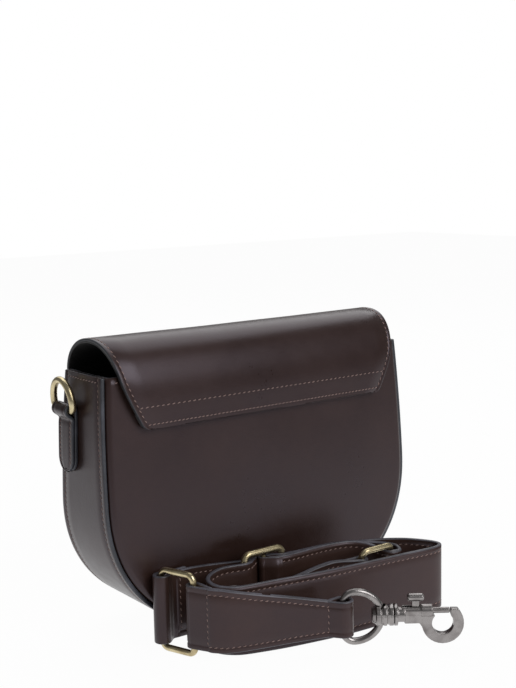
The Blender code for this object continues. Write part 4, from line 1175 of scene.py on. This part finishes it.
def ribbon_stations(route, thickness):
    """Stations of a strip as wide as the strap, on its edge along plan points with a lift and a lean."""
    stations = []
    for before, point, after in with_neighbours(route):
        along = Vector((after.x - before.x, after.y - before.y, 0)).normalized()
        lean = point.w
        across = Vector((0, lean, math.sqrt(strap_width ** 2 - lean ** 2))) / strap_width
        out = along.cross(across).normalized()
        centre = Vector((point.x, point.y, max(point.z, 0))) + Vector((0, 0, across.z * strap_width / 2))
        stations.append(Station(centre, out, across, strap_width / 2, thickness / 2))
    return stations


def around_bar(bar, radius, towards, first_degrees, last_degrees, steps=14):
    """Plan points of a ply that goes round a bar, in degrees from the direction it leaves by."""
    leave = math.atan2(towards.y - bar.y, towards.x - bar.x)
    points = []
    for step in range(steps + 1):
        turn = leave + math.radians(first_degrees + (last_degrees - first_degrees) * step / steps)
        points.append(Vector((bar.x + radius * math.cos(turn), bar.y + radius * math.sin(turn))))
    return points


route = smooth_through(strap_points(), 4)
print("strap's route has", len(route), "points")

# %% [markdown]
# ### The strap's sewn end and its fixed end
# At the outer ring one ply goes round the bar and comes back behind the strap, where a row of stitches
# holds it. At the slider the other end does the same with a thin ply round the middle bar. Each end is its
# own short strip, which starts behind the strap, rounds the bar and runs into the strap's own end.

# %% Strap, its two ends and their sewing
strap_row_inset = 0.0038
end_reach, fixed_reach, run_in = 0.009, 0.004, 0.0015
stations = ribbon_stations(route, strap_thickness)
strap_piece = strip("strap_leather", stations, strap_finishes, strap_row_inset, 8, (False, True))


def folded_end(bar, hole, ply, end, beyond, reach, side):
    """Plan points of a ply from its free end, round a bar and into the strap's face."""
    along = (beyond - end).normalized()
    across = Vector((-along.y, along.x)) * side
    behind = across * (strap_thickness + ply) / 2
    flush = across * (ply - strap_thickness) / 2
    path = [end + along * reach + behind, end + along * reach / 2 + behind, end + behind]
    path += around_bar(bar, hole + ply / 2, end, side * 62, side * 298)
    path += [end.lerp(bar, 0.33) + flush, end + flush, end + along * run_in + flush * 0.8]
    return path


def add_roll(name, plan, ply):
    """A short strip as wide as the strap that goes round a bar."""
    path = smooth_through([(point.x, point.y, strap_lift, 0) for point in plan], 2)
    piece = strip(name, ribbon_stations(path, ply), strap_finishes, 0, 6, (True, False))
    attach(piece, "strap")


plan = [Vector(point[:2]) for point in route]
end_ply, end_room = 0.0022, 0.0010
end_plan = folded_end(end_bar, ring_wire / 2 + end_room, end_ply, plan[0], plan[3], end_reach, 1)
add_roll("strap_end_roll", end_plan, end_ply)
middle_bar = Vector((slider_left.x + slider_spacing, slider_left.y))
fixed_hole = slider_wire / 2 + roll_clearance
fixed_plan = folded_end(middle_bar, fixed_hole, slider_ply, plan[-1], plan[-4], fixed_reach, -1)
add_roll("strap_fixed_roll", fixed_plan, slider_ply)
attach(strap_piece, "strap")
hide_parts("strap")
strap_rows = []
for face in (-1, 1):
    for edge in (-1, 1):
        strap_rows.append(row_along(stations, strap_row_inset, edge, face, 2))
    strap_rows.append(row_across(stations[1], strap_row_inset, face))
sew("strap_stitches", strap_rows, "strap")

# %% [markdown]
# ## Connectors
# A tapered connector joins each rectangular ring to a hook's D-ring. It is one ply that goes round both
# bars like a belt and is sewn flat in between, so its faces run straight out to the folds. It narrows in
# an even line from 36.5 to 21 mm. Each point of the belt knows its share of the way along, for the taper.

# %% Connectors and their sewing
wide, narrow, straight_share, connector_ply = 0.0365, 0.0210, 0.12, 0.0020
hook_opening, hook_depth, hook_wire, hook_corner, hook_ring_height = 0.025, 0.022, 0.0036, 0.0065, 0.0200
connector_clearance = 0.0022
connector_row_inset, connector_pitch, cross_pitch = 0.0032, 0.0032, 0.0033
roll_steps = 14


def belt(middle, near_bar, far_bar):
    """One ply that goes round two bars: plan points with shares of the way along and of the lean."""
    lengths = [0]
    for before, after in zip(middle, middle[1:]):
        lengths.append(lengths[-1] + (after.xy - before.xy).length)
    sides = ([], [])
    for length, (before, point, after) in zip(lengths, with_neighbours(middle)):
        along = (after.xy - before.xy).normalized()
        beside = Vector((along.y, -along.x)) * connector_ply / 2
        for side, line in zip((1, -1), sides):
            line.append((*(point.xy + beside * side), length / lengths[-1], point.z))
    rolls = []
    for bar, hole, end, share in ((near_bar, ring_wire / 2 + roll_clearance, middle[0], 0),
                                  (far_bar, hook_wire / 2 + connector_clearance, middle[-1], 1)):
        radius = hole + connector_ply / 2
        rise = math.asin((radius - connector_ply / 2) / (end.xy - bar).length)
        leaves = 90 - math.degrees(rise)
        arc = around_bar(bar, radius, end, leaves, 360 - leaves, roll_steps)
        rolls.append([(*point, share, 1 - share) for point in arc])
    front, back = sides[0], sides[1][::-1]
    half = len(back) // 2
    return front, smooth_through(back[half:] + rolls[0] + front + rolls[1] + back[:half], 2)


def connector(prefix, body, near_bar, shares, d_bar, lean):
    """One connector from a rectangular ring's bar to a D-ring's bar."""
    points = [(*plan_point(share), share[2]) for share in shares]
    middle = smooth_through(points, 4)
    front, route = belt(middle, near_bar, d_bar)
    first_height = ring_wire / 2 + (ring_middle - ring_wire / 2) * math.cos(lean)
    stations = []
    for behind, point, ahead in with_neighbours(route):
        share = min(max(point.z, 0), 1)
        along = Vector((ahead.x - behind.x, ahead.y - behind.y, 0)).normalized()
        taper_share = max(0, (share - straight_share) / (1 - straight_share))
        width = wide + (narrow - wide) * taper_share
        turn = lean * point.w
        across = Vector((0, -math.sin(turn), math.cos(turn)))
        height = first_height + (hook_ring_height - first_height) * share
        centre = Vector((point.x, point.y, height))
        facing = along.cross(across).normalized()
        stations.append(Station(centre, facing, across, width / 2, connector_ply / 2))
    piece = strip(prefix + "_connector_leather", stations, strap_finishes, connector_row_inset, 6)
    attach(piece, body)
    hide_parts(prefix + "_connector")
    count = 2 * len(front)
    front_start = Vector(front[0][:2])
    start = min(range(len(route)), key=lambda index: (route[index].xy - front_start).length)
    sewn_front = stations[start:start + count - 1]
    sewn_back = stations[start + count + 2 * roll_steps:] + stations[:start - 2 * (roll_steps + 1)]
    rows = []
    for sewn in (sewn_front, sewn_back):
        rows += [row_along(sewn, connector_row_inset, edge, pitch=connector_pitch) for edge in (-1, 1)]
    rows += [row_across(sewn_front[end], connector_row_inset, pitch=cross_pitch) for end in (0, -1)]
    sew(prefix + "_connector_stitches", rows, body)


end_near = end_bar + heading(end_ring_degrees) * ring_spacing
loop_near = loop_bar + heading(loop_ring_degrees) * ring_spacing
end_d_bar, loop_d_bar = plan_point((0.46, 1.275)), plan_point((0.157, 0.38))
connector("end", "end_connector", end_near, [
    (0.0637, 0.6152, 0), (0.07059, 0.6596, 0), (0.1235, 0.7885, 0), (0.2118, 0.9192, 0), (0.3118, 1.05, 0),
    (0.3971, 1.177, 0), (0.4157, 1.2059, 0)], end_d_bar, 0)
connector("loop", "strap", loop_near, [
    (0.6176, 0.6308, 0.75), (0.5706, 0.6385, 0.35), (0.5118, 0.6462, 0.05), (0.4412, 0.6462, 0),
    (0.3706, 0.6346, 0), (0.3235, 0.6212, 0), (0.2853, 0.6115, 0), (0.2471, 0.6019, 0), (0.2059, 0.55, 0),
    (0.1753, 0.4846, 0)], loop_d_bar, loop_lean)

# %% [markdown]
# ## Hooks
# Each hook is cast and then tumbled, so no edge on it is sharp. The solid model has its true form, with a
# bored barrel and a slot for the thumb knob. A copy is rebuilt from small voxels, which joins its forms
# with soft fillets, and then smoothed a little. The outer hook's D-ring is bent from a slightly thicker
# wire than the solid model's, as it looks in the photograph.

# %% Hooks and their D-rings


def cast_copy(node, voxel, passes, finish, body):
    """A copy of a metal node with the soft edges of a casting."""
    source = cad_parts[node]
    piece = bpy.data.objects.new(node + "_cast", source.data.copy())
    bpy.context.scene.collection.objects.link(piece)
    remesh = piece.modifiers.new("voxels", "REMESH")
    remesh.mode = "VOXEL"
    remesh.voxel_size = voxel
    remesh.use_smooth_shade = True
    smooth = piece.modifiers.new("tumbling", "SMOOTH")
    smooth.factor = 0.5
    smooth.iterations = passes
    evaluated = piece.evaluated_get(bpy.context.evaluated_depsgraph_get())
    mesh = bpy.data.meshes.new_from_object(evaluated)
    piece.modifiers.clear()
    piece.data = mesh
    mesh.materials.clear()
    mesh.materials.append(finish)
    mesh.shade_smooth()
    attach(piece, body)
    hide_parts(node)
    print(piece.name, "has", len(mesh.vertices), "vertices")


outer_hook_wire = 0.0041
hook_castings = {"_hook_eye": (0.00025, 3), "_hook_body": (0.00028, 8), "_hook_bolt": (0.00022, 3)}
hook_rings = (
    ("end", "end_d_ring", end_d_bar, -31.5, outer_hook_wire), ("loop", "strap", loop_d_bar, -8, hook_wire))
for prefix, body, d_bar, degrees, wire in hook_rings:
    hook_ring_points = d_points(hook_opening, hook_depth, wire, hook_corner)
    place = standing(d_bar, degrees, hook_ring_height)
    ring(prefix + "_hook_ring", hook_ring_points, wire, place, nickel, prefix + "_d_ring", body,
         "antique_nickel")
    for part, (voxel, passes) in hook_castings.items():
        cast_copy(prefix + part, voxel, passes, nickel, prefix + part)
    refinish(prefix + "_hook_spring", steel)

# %% [markdown]
# ## Magnetic snap
# A brass socket sits on the front panel under the flap, and a matching stud on the flap's strip. Both show
# only when the flap is up. Their shapes are right in the solid model, so they keep them and take the aged
# brass.

# %% Snap
for node in ("snap_socket", "snap_stud"):
    refinish(node, brass)
